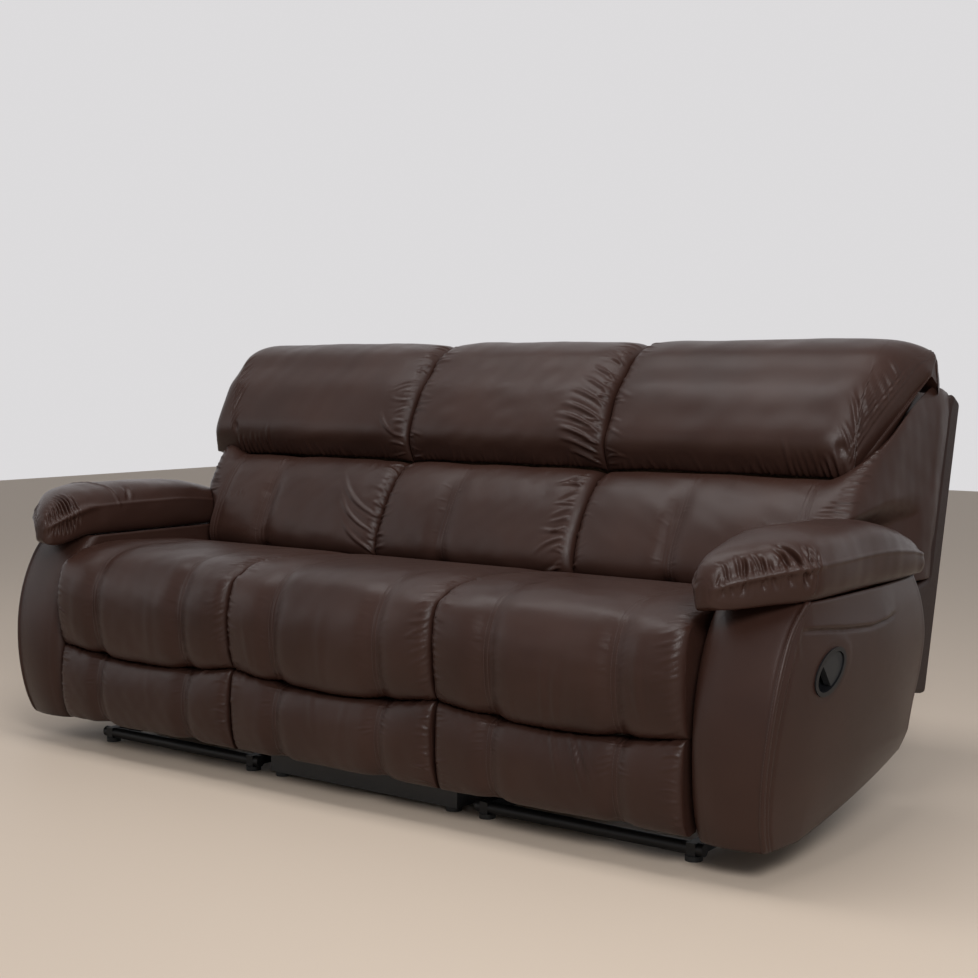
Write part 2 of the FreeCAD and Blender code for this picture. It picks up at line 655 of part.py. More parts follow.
def frame_bolts():
    """Bolts that hold the arms and the middle seat to the stubs of the steel bases."""
    bolts = []
    for spot in bolt_spots():
        rail_side = across(1, BASE_LAYER + RAIL_WIDTH)
        arm_end = ARM_IN + ARM_SKIN + FIT + BOARD
        shank = rod(rail_side + 1, arm_end, spot, BOLT_R)
        bolts.append(joined([shank, rod(arm_end, arm_end + BOLT_HEAD, spot, BOLT_R + 3)]))
        inner_side = across(-1, BASE_LAYER + RAIL_WIDTH)
        middle_end = MIDDLE_BOX_HALF - BOARD
        shank = rod(inner_side - 1, middle_end, spot, BOLT_R)
        bolts.append(joined([shank, rod(middle_end - BOLT_HEAD, middle_end, spot, BOLT_R + 3)]))
    return group(bolts + [mirrored(bolt) for bolt in bolts])


def bolt_holes(x0, x1, radius):
    return group([rod(x0, x1, spot, radius) for spot in bolt_spots()])


# Backs

def lumbar(middle, channels):
    """Lower back cushion, with upright sewn channels."""
    sections = []
    top = LUMBAR_TOP
    for x, draw in stations(-SEAT_HALF, SEAT_HALF, channels, EDGE_DRAW, CHANNEL_DEPTH):
        sections.append(outline([
            (4, CUSHION_DEPTH),
            (4, 12 + 0.3 * draw),
            ((0.32 * top, draw - LUMBAR_CROWN), (0.72 * top, draw - LUMBAR_CROWN + 6)),
            ((0.94 * top, 2 + 0.6 * draw), (top, 22 + 0.4 * draw)),
            (top, CUSHION_DEPTH),
        ], lambda p: V(middle + x, *lean(*p))))
    return lofted(sections)


def headrest_section(x, foot, front, crown, top, rear):
    """One upright cut through a headrest pillow, from its foot to where it rolls over the top."""
    tall = top - foot
    return outline([
        (foot, CUSHION_DEPTH),
        (foot, front),
        ((foot + 0.05 * tall, crown + 0.3 * (front - crown)), (foot + 0.2 * tall, crown)),
        ((foot + 0.5 * tall, crown - 5), (foot + 0.76 * tall, crown + 0.18 * (CUSHION_DEPTH - crown))),
        ((top - 0.045 * tall, 0.55 * CUSHION_DEPTH + 0.45 * crown), (top, CUSHION_DEPTH)),
        ((top - 0.05 * tall, 0.62 * rear + 0.38 * CUSHION_DEPTH), (FRAME_TOP + 8, rear)),
        (FRAME_TOP + 8, CUSHION_DEPTH),
    ], lambda p: V(x, *lean(*p)))


def headrest(middle):
    """Pillow of the middle back."""
    sections = []
    for x, draw in stations(-SEAT_HALF, SEAT_HALF, (), EDGE_DRAW, 0.0):
        sections.append(headrest_section(
            middle + x, HEADREST_FOOT, 10 + 0.5 * draw, draw - HEADREST_CROWN, HEADREST_TOP - 0.8 * draw,
            HEADREST_REAR - 0.4 * draw))
    return lofted(sections)


def end_headrest(wider=0.0):
    """Pillow of the right back. Its outer end is cut off aslant and wraps round the side."""
    reach = SEAT_HALF + WING_OUT - 11
    sections = []
    for x, draw in stations(-SEAT_HALF, reach, (), EDGE_DRAW, 0.0):
        slant = max(0.0, (x - SEAT_HALF + SLANT_START) / (reach - SEAT_HALF + SLANT_START))
        foot = HEADREST_FOOT + SLANT_RISE * slant ** 1.4
        fold = draw if x < 0 else 0.0
        crown = fold - HEADREST_CROWN + (HEADREST_CROWN + 0.72 * CUSHION_DEPTH) * slant ** 2
        front = 10 + 0.5 * fold + 0.8 * CUSHION_DEPTH * slant ** 0.8
        top = HEADREST_TOP - 0.8 * fold - 26 * slant ** 2
        sections.append(headrest_section(
            SEAT_PITCH + x, foot - wider, min(front, CUSHION_DEPTH - 6) - wider, crown - wider, top + wider,
            HEADREST_REAR - 20 * slant + wider))
    return lofted(sections)


def shell_rear(z):
    """Depth of the outside back's rear face at a height."""
    share = (SHELL_TOP_REAR[1] - z) / (SHELL_TOP_REAR[1] - SHELL_FOOT_REAR[1])
    return SHELL_TOP_REAR[0] - share * (SHELL_TOP_REAR[0] - SHELL_FOOT_REAR[0])


def shell_profile(inset):
    """Side view of a back behind its cushions, drawn in by the inset."""
    front = CUSHION_DEPTH + 2 * FIT
    return drawn_in([
        lean(4, front),
        lean(FRAME_TOP + 6, front),
        lean(FRAME_TOP + 6, HEADREST_REAR + FIT),
        SHELL_TOP_REAR,
        SHELL_FOOT_REAR,
        SHELL_FOOT_FRONT,
        (BACK_PIVOT[0] + SHELL_HEEL[0], BACK_PIVOT[1] + SHELL_HEEL[1]),
        (BACK_PIVOT[0] + SHELL_KNEE[0], BACK_PIVOT[1] + SHELL_KNEE[1]),
    ], inset)


def wide_profile(inset):
    """Side view of the wide part of an end back, behind the arm."""
    return drawn_in([
        SHELL_TOP_REAR,
        SHELL_TOP_FRONT,
        (shell_rear(SHELL_SHOULDER) - SHELL_STRIP, SHELL_SHOULDER),
        (shell_rear(WING_FOOT) - SHELL_STRIP, WING_FOOT),
        (SHELL_FOOT_FRONT[0], WING_FOOT - 17),
        SHELL_FOOT_FRONT,
        SHELL_FOOT_REAR,
    ], inset)


def front_opening(x0, x1):
    """The shell is open where the frame and the cushions close it."""
    front = CUSHION_DEPTH - 40
    back = CUSHION_DEPTH + 2 * FIT + 3 * SHELL
    return slab([lean(12, front), lean(FRAME_TOP, front), lean(FRAME_TOP, back), lean(12, back)], x0, x1)


def bracket_bar(foot, x0, x1, wider=0.0):
    """Bent steel plate from a foot below a back, up along its gusset."""
    hip = (BACK_PIVOT[0] + BRACKET_HIP[0], BACK_PIVOT[1] + BRACKET_HIP[1])
    shoulder = (BACK_PIVOT[0] + BRACKET_SHOULDER[0], BACK_PIVOT[1] + BRACKET_SHOULDER[1])
    way = 1 if x1 > x0 else -1
    return bar([foot, hip, shoulder], x0 - way * wider, x1 + way * wider, BRACKET_WIDTH + 2 * wider)


def hinge_bracket(sign, wider=0.0):
    """Steel plate that joins a back frame's gusset to the hinge on the seat rail."""
    x0 = across(sign, LAYER_1)
    plate = bracket_bar(BACK_PIVOT, x0, across(sign, LAYER_1 + BRACKET_PLATE), wider)
    return bored(sign, plate, BACK_PIVOT, LAYER_1, BACK_PIN_R, BRACKET_PLATE)


def fixed_bracket(sign, wider=0.0):
    """Steel plate that joins the middle back's gusset to the side of its seat box."""
    foot = (BOX_REAR - 40, BOX_BOTTOM + 45)
    x = sign * MIDDLE_BOX_HALF
    return bracket_bar(foot, x, x + sign * BRACKET_PLATE, wider)


def bracket_slots(make):
    """The slots that a pair of brackets passes through."""
    return group([make(sign, 2 * FIT) for sign in (-1, 1)])


def outside_back():
    """Covered shell behind the middle back, open towards the cushions."""
    outer = slab(shell_profile(0), -SEAT_HALF, SEAT_HALF)
    edge = SEAT_HALF - SHELL
    inner = slab(shell_profile(SHELL), -edge, edge)
    return outer.cut(inner).cut(front_opening(-edge, edge)).cut(bracket_slots(fixed_bracket))


def end_outside_back():
    """Shell of the right back. It is wider behind the arm."""
    inner_edge = SEAT_PITCH - SEAT_HALF
    seat_edge = SEAT_PITCH + SEAT_HALF
    outer_edge = SEAT_PITCH + BACK_EDGE
    outer = slab(shell_profile(0), inner_edge, seat_edge).fuse(slab(wide_profile(0), seat_edge - 1, outer_edge))
    narrow = slab(shell_profile(SHELL), inner_edge + SHELL, seat_edge - SHELL)
    wide = slab(wide_profile(SHELL), seat_edge - SHELL - 1, outer_edge - SHELL)
    shell = outer.cut(narrow).cut(wide).cut(front_opening(inner_edge + SHELL, seat_edge - SHELL))
    return shell.cut(bracket_slots(hinge_bracket))


def back_frame(middle, gusset_half):
    """Plywood front and two gussets, tied by rails at the rear."""
    front = CUSHION_DEPTH + 2 * FIT
    deep = front + BACK_PANEL
    edge = SEAT_HALF - SHELL - FIT
    panel = slab([lean(12, front), lean(FRAME_TOP, front), lean(FRAME_TOP, deep), lean(12, deep)],
                 middle - edge, middle + edge)
    ribs = slab(shell_profile(SHELL + FIT), middle - edge, middle + edge)
    pieces = []
    for sign in (-1, 1):
        x = middle + sign * (gusset_half - GUSSET)
        pieces.append(slab(shell_profile(SHELL + FIT), x, x + sign * GUSSET))
    for z in (SHELL_TOP_REAR[1] - 60, (SHELL_TOP_REAR[1] + SHELL_FOOT_REAR[1]) / 2, SHELL_FOOT_REAR[1] + 30):
        rear = shell_rear(z)
        rail = box(middle - edge, middle + edge, rear - 2 * BOARD, rear, z, z + BACK_RAIL)
        pieces.append(rail.common(ribs))
    return joined([panel] + pieces)


def back_wing():
    """Padded bolster outside the right back, behind the arm and under the end of the pillow."""
    inner = SEAT_PITCH + SEAT_HALF + 2 * FIT
    outer = SEAT_PITCH + BACK_EDGE
    sections = []
    for z, deep, side_deep in WING_LEVELS:
        front = shell_rear(z) - deep
        side = shell_rear(z) - side_deep
        rear = shell_rear(min(z, SHELL_SHOULDER)) - SHELL_STRIP - 2 * FIT + max(0.0, z - SHELL_SHOULDER) * 0.35
        middle = (inner + 0.66 * (outer - inner), front + 0.42 * (side - front))
        sections.append(outline([
            (inner, rear),
            (inner, front),
            (middle, (outer, side)),
            (outer, rear),
        ], lambda p: V(p[0], p[1], z)))
    bolster = Part.makeLoft(sections, True, True)
    above = slab([lean(FRAME_TOP + 6, -BEYOND), lean(FRAME_TOP + 6, BEYOND), lean(FRAME_TOP + BEYOND, BEYOND),
                  lean(FRAME_TOP + BEYOND, -BEYOND)], inner - 5, outer + 5)
    left_over = bolster.cut(above).cut(end_headrest(2 * FIT))
    return max(left_over.Solids, key=lambda solid: solid.Volume)


# Arms

def arm_body(skin, grounded):
    """The arm below its pillow, drawn in by the skin on every side."""
    inner = ARM_IN + skin
    sections = []
    for z, front, rear, front_width, rear_width, bulge in ARM_LEVELS:
        near = front + skin
        far = rear - skin
        fx = ARM_IN + front_width - skin
        rx = ARM_IN + rear_width - skin
        sections.append(outline([
            (inner, near + 6),
            (((inner + fx) / 2, near - 9), (fx, near)),
            (((fx + rx) / 2 + bulge, (near + far) / 2), (rx, far - 22)),
            ((rx - 10, far - 5), (rx - 30, far)),
            (inner, far),
        ], lambda p: V(p[0], p[1], z)))
    body = lofted(sections)
    top = box(ARM_IN - 50, ARM_IN + BEYOND, -BEYOND, 2 * BEYOND, ARM_TOP - skin, ARM_TOP + BEYOND)
    body = body.cut(top)
    if not grounded:
        return body
    # The lower edge climbs towards the rear
    low = ARM_LEVELS[0][0] - 20
    ground = slab([
        (-100, low),
        (-100, ARM_FOOT + skin),
        (130, ARM_FOOT + skin),
        (580, ARM_FOOT_REAR + skin),
        (700, ARM_FOOT_REAR + skin + 30),
        (700, low),
    ], ARM_IN - 50, ARM_IN + BEYOND)
    return body.cut(ground)


def arm_frame():
    """Posts, rails and a side panel inside the arm's cover."""
    body = arm_body(ARM_SKIN + FIT, True)
    x0 = ARM_IN - 10
    x1 = ARM_IN + BEYOND
    pieces = [
        box(x0, ARM_IN + ARM_SKIN + FIT + BOARD, -BEYOND, 2 * BEYOND, 0, ARM_TOP),
        box(x0, x1, -BEYOND, ARM_FRONT_POST, 0, ARM_TOP),
        box(x0, x1, ARM_REAR_POST, 2 * BEYOND, 0, ARM_TOP),
        box(x0, x1, -BEYOND, 2 * BEYOND, ARM_TOP - ARM_SKIN - ARM_RAIL, ARM_TOP),
        box(x0, x1, -BEYOND, 2 * BEYOND, 0, ARM_FOOT + ARM_SKIN + ARM_RAIL),
    ]
    frame = body.common(joined(pieces))
    return frame.cut(bolt_holes(ARM_IN, ARM_IN + 100, BOLT_R + RUNNING))


def in_cup(shape):
    """Places a piece drawn with X along the cup, Y across it and Z outwards from the arm."""
    turned = FreeCAD.Rotation(V(0, 0, 1), -CUP_TURN) * FreeCAD.Rotation(V(1, 0, 0), CUP_TILT)
    turned = turned * FreeCAD.Rotation(V(0, 1, 0), V(0, 0, 1), V(1, 0, 0), "ZXY")
    placed = shape.copy()
    placed.Placement = FreeCAD.Placement(V(ARM_IN + CUP_OUT, *CUP_CENTRE), turned)
    return placed


def oval(wider, z0, z1):
    """An oval block as long and wide as the cup, or wider all round."""
    curve = Part.Ellipse(V(0, 0, z0), CUP_LENGTH / 2 + wider, CUP_WIDTH / 2 + wider)
    return Part.Face(Part.Wire(curve.toShape())).extrude(V(0, 0, z1 - z0))


def arm_cover():
    """Foam and leather over the arm's frame, open underneath, with a pocket for the cup."""
    cover = arm_body(0, True).cut(arm_body(ARM_SKIN, False))
    pocket = oval(BEZEL_WIDTH + FIT, -BEZEL_SUNK - FIT, 40)
    hole = oval(FIT, -BEZEL_SUNK - CUP_DEPTH - FIT, 10)
    cover = cover.cut(in_cup(pocket)).cut(in_cup(hole))
    return cover.cut(bolt_holes(ARM_IN - 5, ARM_IN + ARM_SKIN + 5, BOLT_R + RUNNING))


def release_cup():
    """Oval cup with a rim. The paddle's pin turns in its sides."""
    floor = -BEZEL_SUNK - CUP_DEPTH
    rim = oval(BEZEL_WIDTH, -BEZEL_SUNK, BEZEL - BEZEL_SUNK)
    cup = joined([rim, oval(0, floor, -BEZEL_SUNK)])
    cup = cup.cut(oval(-CUP_WALL, floor + CUP_WALL, BEZEL))
    return in_cup(cup.cut(paddle_pin(RUNNING)))


def paddle_pin(wider):
    """The paddle's pin, across the cup."""
    share = PADDLE_PIVOT / (CUP_LENGTH / 2)
    reach = CUP_WIDTH / 2 * math.sqrt(1 - share ** 2) - CUP_WALL / 3 + wider
    return Part.makeCylinder(PADDLE_PIN_R + wider, 2 * reach, V(PADDLE_PIVOT, -reach, -PADDLE / 2), V(0, 1, 0))


def release_paddle():
    """Lever plate in the upper part of the cup, with a lip to pull at its free edge."""
    plate = oval(-CUP_WALL - 1.2, -PADDLE, 0)
    lip = oval(-CUP_WALL - 3.0, -PADDLE - PADDLE_LIP, 0)
    half = CUP_LENGTH
    plate = plate.common(Part.makeBox(half, 2 * half, 2 * half, V(-PADDLE_EDGE, -half, -half)))
    lip = lip.common(Part.makeBox(4, 2 * half, 2 * half, V(-PADDLE_EDGE, -half, -half)))
    return in_cup(joined([plate, lip, paddle_pin(0)]))


def arm_pillow():
    """Pillow top of the arm, whose nose hangs over the arm's front."""
    middle = ARM_IN + PILLOW_MIDDLE
    sections = []
    for y, half, low, high in PILLOW_STATIONS:
        bottom = ARM_TOP + low
        top = ARM_TOP + high
        tall = top - bottom
        sections.append(outline([
            (middle - 0.82 * half, bottom),
            (middle + 0.82 * half, bottom),
            ((middle + half, bottom + 0.36 * tall), (middle + 0.84 * half, top - 0.26 * tall)),
            ((middle, top), (middle - 0.84 * half, top - 0.26 * tall)),
            ((middle - half, bottom + 0.36 * tall), (middle - 0.82 * half, bottom)),
        ], lambda p: V(p[0], y, p[1])))
    return lofted(sections)


# The three seats
for name, middle in (("left", -SEAT_PITCH), ("centre", 0.0), ("right", SEAT_PITCH)):
    keep(name + "_seat_cushion", seat_cushion(middle))
    keep("centre_front_pad" if name == "centre" else name + "_footrest_pad", front_pad(middle))

tube_hole = rod(across(-1, BOX_HALF + 1), across(1, BOX_HALF + 1), CRANK_PIVOT, DRIVE_TUBE_R + 4)
keep_pair("seat_frame", seat_box(SEAT_PITCH, BOX_HALF).cut(tube_hole))
keep_pair("seat_springs", seat_springs(SEAT_PITCH, BOX_HALF))
keep("centre_seat_frame", middle_seat_box())
keep("centre_seat_springs", seat_springs(0.0, MIDDLE_BOX_HALF))

# Mechanism of the end seats
keep_pair("seat_rails", group(both_sides(seat_rail)))
keep_pair("swing_links_front", group(both_sides(lambda sign: swing_link(sign, SWING_PIVOTS[0]))))
keep_pair("swing_links_rear", group(both_sides(lambda sign: swing_link(sign, SWING_PIVOTS[1]))))
keep_pair("crank_links", joined(both_sides(crank) + [drive_tube()]))
keep_pair("rear_links", group(both_sides(rear_link)))
keep_pair("cross_links", group(both_sides(cross_link)))
keep_pair("outer_links", group(both_sides(outer_link)))
keep_pair("footrest_brackets", group(both_sides(foot_bracket)))
keep_pair("footrest_board", pad_board(SEAT_PITCH))

# Bases
holes = bolt_holes(0, ARM_IN + 20, BOLT_R + RUNNING)
keep_pair("base_frame", base_frame().cut(holes))
keep("centre_base_frame", middle_base().cut(holes).cut(mirrored(holes)))
keep("floor_glides", glides())
keep("frame_bolts", frame_bolts())

# Backs
keep("right_lumbar_cushion", lumbar(SEAT_PITCH, (RIGHT_CHANNEL, SEAT_HALF - WING_CHANNEL)))
keep("left_lumbar_cushion", lumbar(-SEAT_PITCH, (WING_CHANNEL - SEAT_HALF, LEFT_CHANNEL)))
keep("centre_lumbar_cushion", lumbar(0.0, (CENTRE_CHANNEL,)))
keep_pair("headrest_cushion", end_headrest())
keep("centre_headrest_cushion", headrest(0.0))
keep_pair("outside_back", end_outside_back())
keep("centre_outside_back", outside_back())
keep_pair("back_frame", group([back_frame(SEAT_PITCH, LAYER_1)] + both_sides(hinge_bracket)))
keep("centre_back_frame", group([back_frame(0.0, MIDDLE_BOX_HALF)] + both_sides(fixed_bracket)))
keep_pair("back_wing", back_wing())

# Arms
keep_pair("arm_frame", arm_frame())
keep_pair("arm_cover", arm_cover())
keep_pair("arm_pad", arm_pillow())
keep_pair("release_cup", release_cup())
keep_pair("release_paddle", release_paddle())
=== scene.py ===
# The reclining sofa's looks, in metres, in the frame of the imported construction.
import math
import bpy
import numpy as np
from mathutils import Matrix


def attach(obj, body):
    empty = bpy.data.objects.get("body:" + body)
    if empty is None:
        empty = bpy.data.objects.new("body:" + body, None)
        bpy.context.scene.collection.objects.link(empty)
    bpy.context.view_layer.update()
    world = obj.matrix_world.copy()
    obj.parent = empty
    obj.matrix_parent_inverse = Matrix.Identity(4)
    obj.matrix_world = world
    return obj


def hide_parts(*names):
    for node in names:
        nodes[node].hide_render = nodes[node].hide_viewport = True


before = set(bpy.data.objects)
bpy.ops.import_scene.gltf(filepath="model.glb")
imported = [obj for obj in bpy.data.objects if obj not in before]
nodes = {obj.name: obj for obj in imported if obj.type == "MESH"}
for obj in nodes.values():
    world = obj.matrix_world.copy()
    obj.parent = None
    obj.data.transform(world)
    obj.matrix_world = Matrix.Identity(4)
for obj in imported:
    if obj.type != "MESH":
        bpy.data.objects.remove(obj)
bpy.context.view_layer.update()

# The camera stands ahead of the sofa and to its right, a little under a standing eye's height.
# Its place and turn give the photographed perspective on a square 36 mm frame.
CAMERA_PLACE = (2.348, -3.0088, 0.9202)
CAMERA_TURN = 0.6477
CAMERA_DIP = 0.0732
CAMERA_LENS = 60.74

lens = bpy.data.cameras.new("camera")
lens.lens = CAMERA_LENS
lens.sensor_width = 36.0
camera = bpy.data.objects.new("camera", lens)
camera.location = CAMERA_PLACE
camera.rotation_euler = (math.pi / 2 - CAMERA_DIP, 0.0, CAMERA_TURN)
bpy.context.scene.collection.objects.link(camera)
bpy.context.scene.camera = camera

# Steel bases, seat rails and footrest links. They are cut and bent from plate and tube,
# welded, and powder coated in black, which rubs a little grey along its edges.
STEEL_BLACK = (0.011, 0.011, 0.012, 1.0)
STEEL_RUBBED = (0.06, 0.06, 0.062, 1.0)
COATING_SHINE = 0.25


def place(nodes_in, kind, **settings):
    """Adds a shader node and sets its properties."""
    node = nodes_in.new(kind)
    for key, value in settings.items():
        setattr(node, key, value)
    return node


def new_group(name, inputs, outputs):
    """A shader node group with named inputs, their values, and outputs."""
    group = bpy.data.node_groups.new(name, "ShaderNodeTree")
    for label, kind, value in inputs:
        socket = group.interface.new_socket(label, in_out="INPUT", socket_type=kind)
        socket.default_value = value
    for label, kind in outputs:
        group.interface.new_socket(label, in_out="OUTPUT", socket_type=kind)
    return group, group.nodes.new("NodeGroupInput"), group.nodes.new("NodeGroupOutput")


def rub_group():
    """Mask of places where a hard finish is rubbed: convex edges, broken up by noise."""
    group, inside, outside = new_group(
        "rubbed_edges",
        [("Patch size", "NodeSocketFloat", 40.0), ("Amount", "NodeSocketFloat", 0.5)],
        [("Mask", "NodeSocketFloat")])
    n, link = group.nodes, group.links
    where = n.new("ShaderNodeTexCoord")
    form = n.new("ShaderNodeNewGeometry")
    noise = place(n, "ShaderNodeTexNoise")
    noise.inputs["Detail"].default_value = 4.0
    edge = place(n, "ShaderNodeMapRange", clamp=True)
    edge.inputs["From Min"].default_value = 0.52
    edge.inputs["From Max"].default_value = 0.62
    both = place(n, "ShaderNodeMath", operation="MULTIPLY")
    much = place(n, "ShaderNodeMath", operation="MULTIPLY", use_clamp=True)
    link.new(where.outputs["Object"], noise.inputs["Vector"])
    link.new(inside.outputs["Patch size"], noise.inputs["Scale"])
    link.new(form.outputs["Pointiness"], edge.inputs["Value"])
    link.new(edge.outputs["Result"], both.inputs[0])
    link.new(noise.outputs["Fac"], both.inputs[1])
    link.new(both.outputs[0], much.inputs[0])
    link.new(inside.outputs["Amount"], much.inputs[1])
    link.new(much.outputs[0], outside.inputs["Mask"])
    return group


RUBBED = rub_group()


def hard_finish(name, color, rubbed, roughness, metallic, orange_peel):
    """A moulded, coated or plated finish with rubbed edges and a fine uneven skin."""
    material = bpy.data.materials.new(name)
    material.use_nodes = True
    n, link = material.node_tree.nodes, material.node_tree.links
    shader = n["Principled BSDF"]
    shader.inputs["Metallic"].default_value = metallic
    shader.inputs["Specular IOR Level"].default_value = 0.5 if metallic else COATING_SHINE
    rub = place(n, "ShaderNodeGroup", node_tree=RUBBED)
    mix = place(n, "ShaderNodeMix", data_type="RGBA")
    mix.inputs[6].default_value = color
    mix.inputs[7].default_value = rubbed
    link.new(rub.outputs["Mask"], mix.inputs[0])
    link.new(mix.outputs[2], shader.inputs["Base Color"])
    where = n.new("ShaderNodeTexCoord")
    peel = n.new("ShaderNodeTexNoise")
    peel.inputs["Scale"].default_value = 900.0
    cloud = n.new("ShaderNodeTexNoise")
    cloud.inputs["Scale"].default_value = 18.0
    cloud.inputs["Detail"].default_value = 5.0
    rough = n.new("ShaderNodeMapRange")
    rough.inputs["To Min"].default_value = roughness - 0.08
    rough.inputs["To Max"].default_value = roughness + 0.08
    bump = n.new("ShaderNodeBump")
    bump.inputs["Strength"].default_value = orange_peel
    bump.inputs["Distance"].default_value = 0.0002
    link.new(where.outputs["Object"], peel.inputs["Vector"])
    link.new(where.outputs["Object"], cloud.inputs["Vector"])
    link.new(cloud.outputs["Fac"], rough.inputs["Value"])
    link.new(rough.outputs["Result"], shader.inputs["Roughness"])
    link.new(peel.outputs["Fac"], bump.inputs["Height"])
    link.new(bump.outputs["Normal"], shader.inputs["Normal"])
    return material


def dress(names, material):
    """Gives construction nodes a finish in place of their plain one."""
    for name in names:
        mesh = nodes[name].data
        mesh.materials.clear()
        mesh.materials.append(material)


SIDES = ("left", "right")
ENDS = ("left", "centre", "right")
black_steel = hard_finish("black_powder_coat", STEEL_BLACK, STEEL_RUBBED, 0.42, 0.0, 0.5)
STEEL_PIECES = ("base_frame", "seat_rails", "swing_links_front", "swing_links_rear", "crank_links",
                "rear_links", "cross_links", "outer_links", "footrest_brackets")
dress([side + "_" + piece for side in SIDES for piece in STEEL_PIECES], black_steel)

# Frame bolts are zinc plated, and the glides under the feet are moulded in black plastic.
zinc = hard_finish("zinc_plate", (0.42, 0.43, 0.44, 1.0), (0.6, 0.6, 0.6, 1.0), 0.35, 1.0, 0.3)
dress(["frame_bolts"], zinc)
GLIDE_BLACK = (0.012, 0.012, 0.012, 1.0)
glide_black = hard_finish("glide_plastic", GLIDE_BLACK, (0.03, 0.03, 0.03, 1.0), 0.5, 0.0, 0.4)
dress(["floor_glides"], glide_black)

# Sinuous springs are drawn wire with a dark oiled skin, stapled across each seat box.
SPRING_GREY = (0.09, 0.085, 0.08, 1.0)
spring_wire = hard_finish("oiled_spring_wire", SPRING_GREY, (0.25, 0.25, 0.25, 1.0), 0.38, 0.9, 0.3)
dress([end + "_seat_springs" for end in ENDS], spring_wire)

# Seat boxes, back and arm frames and the boards behind the front pads are sawn pine and plywood.
# The middle seat's base is the same timber stained black, because it shows under the front pad.
TIMBER_PALE = (0.50, 0.35, 0.20, 1.0)
TIMBER_DARK = (0.30, 0.18, 0.09, 1.0)


def wood_group():
    """Growth rings and fine pores of sawn timber that runs along X."""
    group, inside, outside = new_group(
        "sawn_grain",
        [("Light", "NodeSocketColor", TIMBER_PALE), ("Dark", "NodeSocketColor", TIMBER_DARK),
         ("Ring size", "NodeSocketFloat", 26.0)],
        [("Color", "NodeSocketColor"), ("Height", "NodeSocketFloat")])
    n, link = group.nodes, group.links
    where = n.new("ShaderNodeTexCoord")
    stretch = n.new("ShaderNodeMapping")
    stretch.inputs["Scale"].default_value = (0.12, 1.0, 1.0)
    rings = place(n, "ShaderNodeTexWave", wave_type="RINGS", rings_direction="X")
    rings.inputs["Distortion"].default_value = 5.0
    rings.inputs["Detail"].default_value = 3.0
    pores = n.new("ShaderNodeTexNoise")
    pores.inputs["Scale"].default_value = 500.0
    mix = place(n, "ShaderNodeMix", data_type="RGBA")
    high = place(n, "ShaderNodeMath", operation="ADD")
    link.new(where.outputs["Object"], stretch.inputs["Vector"])
    link.new(stretch.outputs["Vector"], rings.inputs["Vector"])
    link.new(stretch.outputs["Vector"], pores.inputs["Vector"])
    link.new(inside.outputs["Ring size"], rings.inputs["Scale"])
    link.new(inside.outputs["Light"], mix.inputs[6])
    link.new(inside.outputs["Dark"], mix.inputs[7])
    link.new(rings.outputs["Fac"], mix.inputs[0])
    link.new(rings.outputs["Fac"], high.inputs[0])
    link.new(pores.outputs["Fac"], high.inputs[1])
    link.new(mix.outputs[2], outside.inputs["Color"])
    link.new(high.outputs[0], outside.inputs["Height"])
    return group


SAWN_GRAIN = wood_group()


def timber(name, light, dark, roughness):
    """Sawn timber with rings, pores and a slight relief."""
    material = bpy.data.materials.new(name)
    material.use_nodes = True
    n, link = material.node_tree.nodes, material.node_tree.links
    shader = n["Principled BSDF"]
    shader.inputs["Roughness"].default_value = roughness
    grain = place(n, "ShaderNodeGroup", node_tree=SAWN_GRAIN)
    grain.inputs["Light"].default_value = light
    grain.inputs["Dark"].default_value = dark
    bump = n.new("ShaderNodeBump")
    bump.inputs["Strength"].default_value = 0.4
    bump.inputs["Distance"].default_value = 0.0004
    link.new(grain.outputs["Color"], shader.inputs["Base Color"])
    link.new(grain.outputs["Height"], bump.inputs["Height"])
    link.new(bump.outputs["Normal"], shader.inputs["Normal"])
    return material


raw_timber = timber("raw_timber", TIMBER_PALE, TIMBER_DARK, 0.7)
TIMBER_PIECES = ("seat_frame", "arm_frame", "back_frame", "footrest_board")
dress([side + "_" + piece for side in SIDES for piece in TIMBER_PIECES]
      + ["centre_seat_frame", "centre_back_frame"], raw_timber)
black_timber = timber("black_stained_timber", (0.014, 0.014, 0.015, 1.0), (0.008, 0.008, 0.008, 1.0), 0.55)
dress(["centre_base_frame"], black_timber)

# Leather: one dark brown semi-gloss hide for every panel that shows from the front, and a flatter
# one for the outside backs, whose colour is painted darker as painted shade. The grain is fine, the dye is
# even, and stretched places are glossier.
LEATHER_BROWN = (0.0365, 0.0170, 0.0125, 1.0)
LEATHER_DEEP = (0.0225, 0.0098, 0.0072, 1.0)
LEATHER_SHINE = 0.20
# The outside backs' two tones are the front leather painted darker: painted shade on the shells.
SHADED_BACK_BROWN = (0.020, 0.0090, 0.0068, 1.0)
SHADED_BACK_DEEP = (0.014, 0.0062, 0.0046, 1.0)


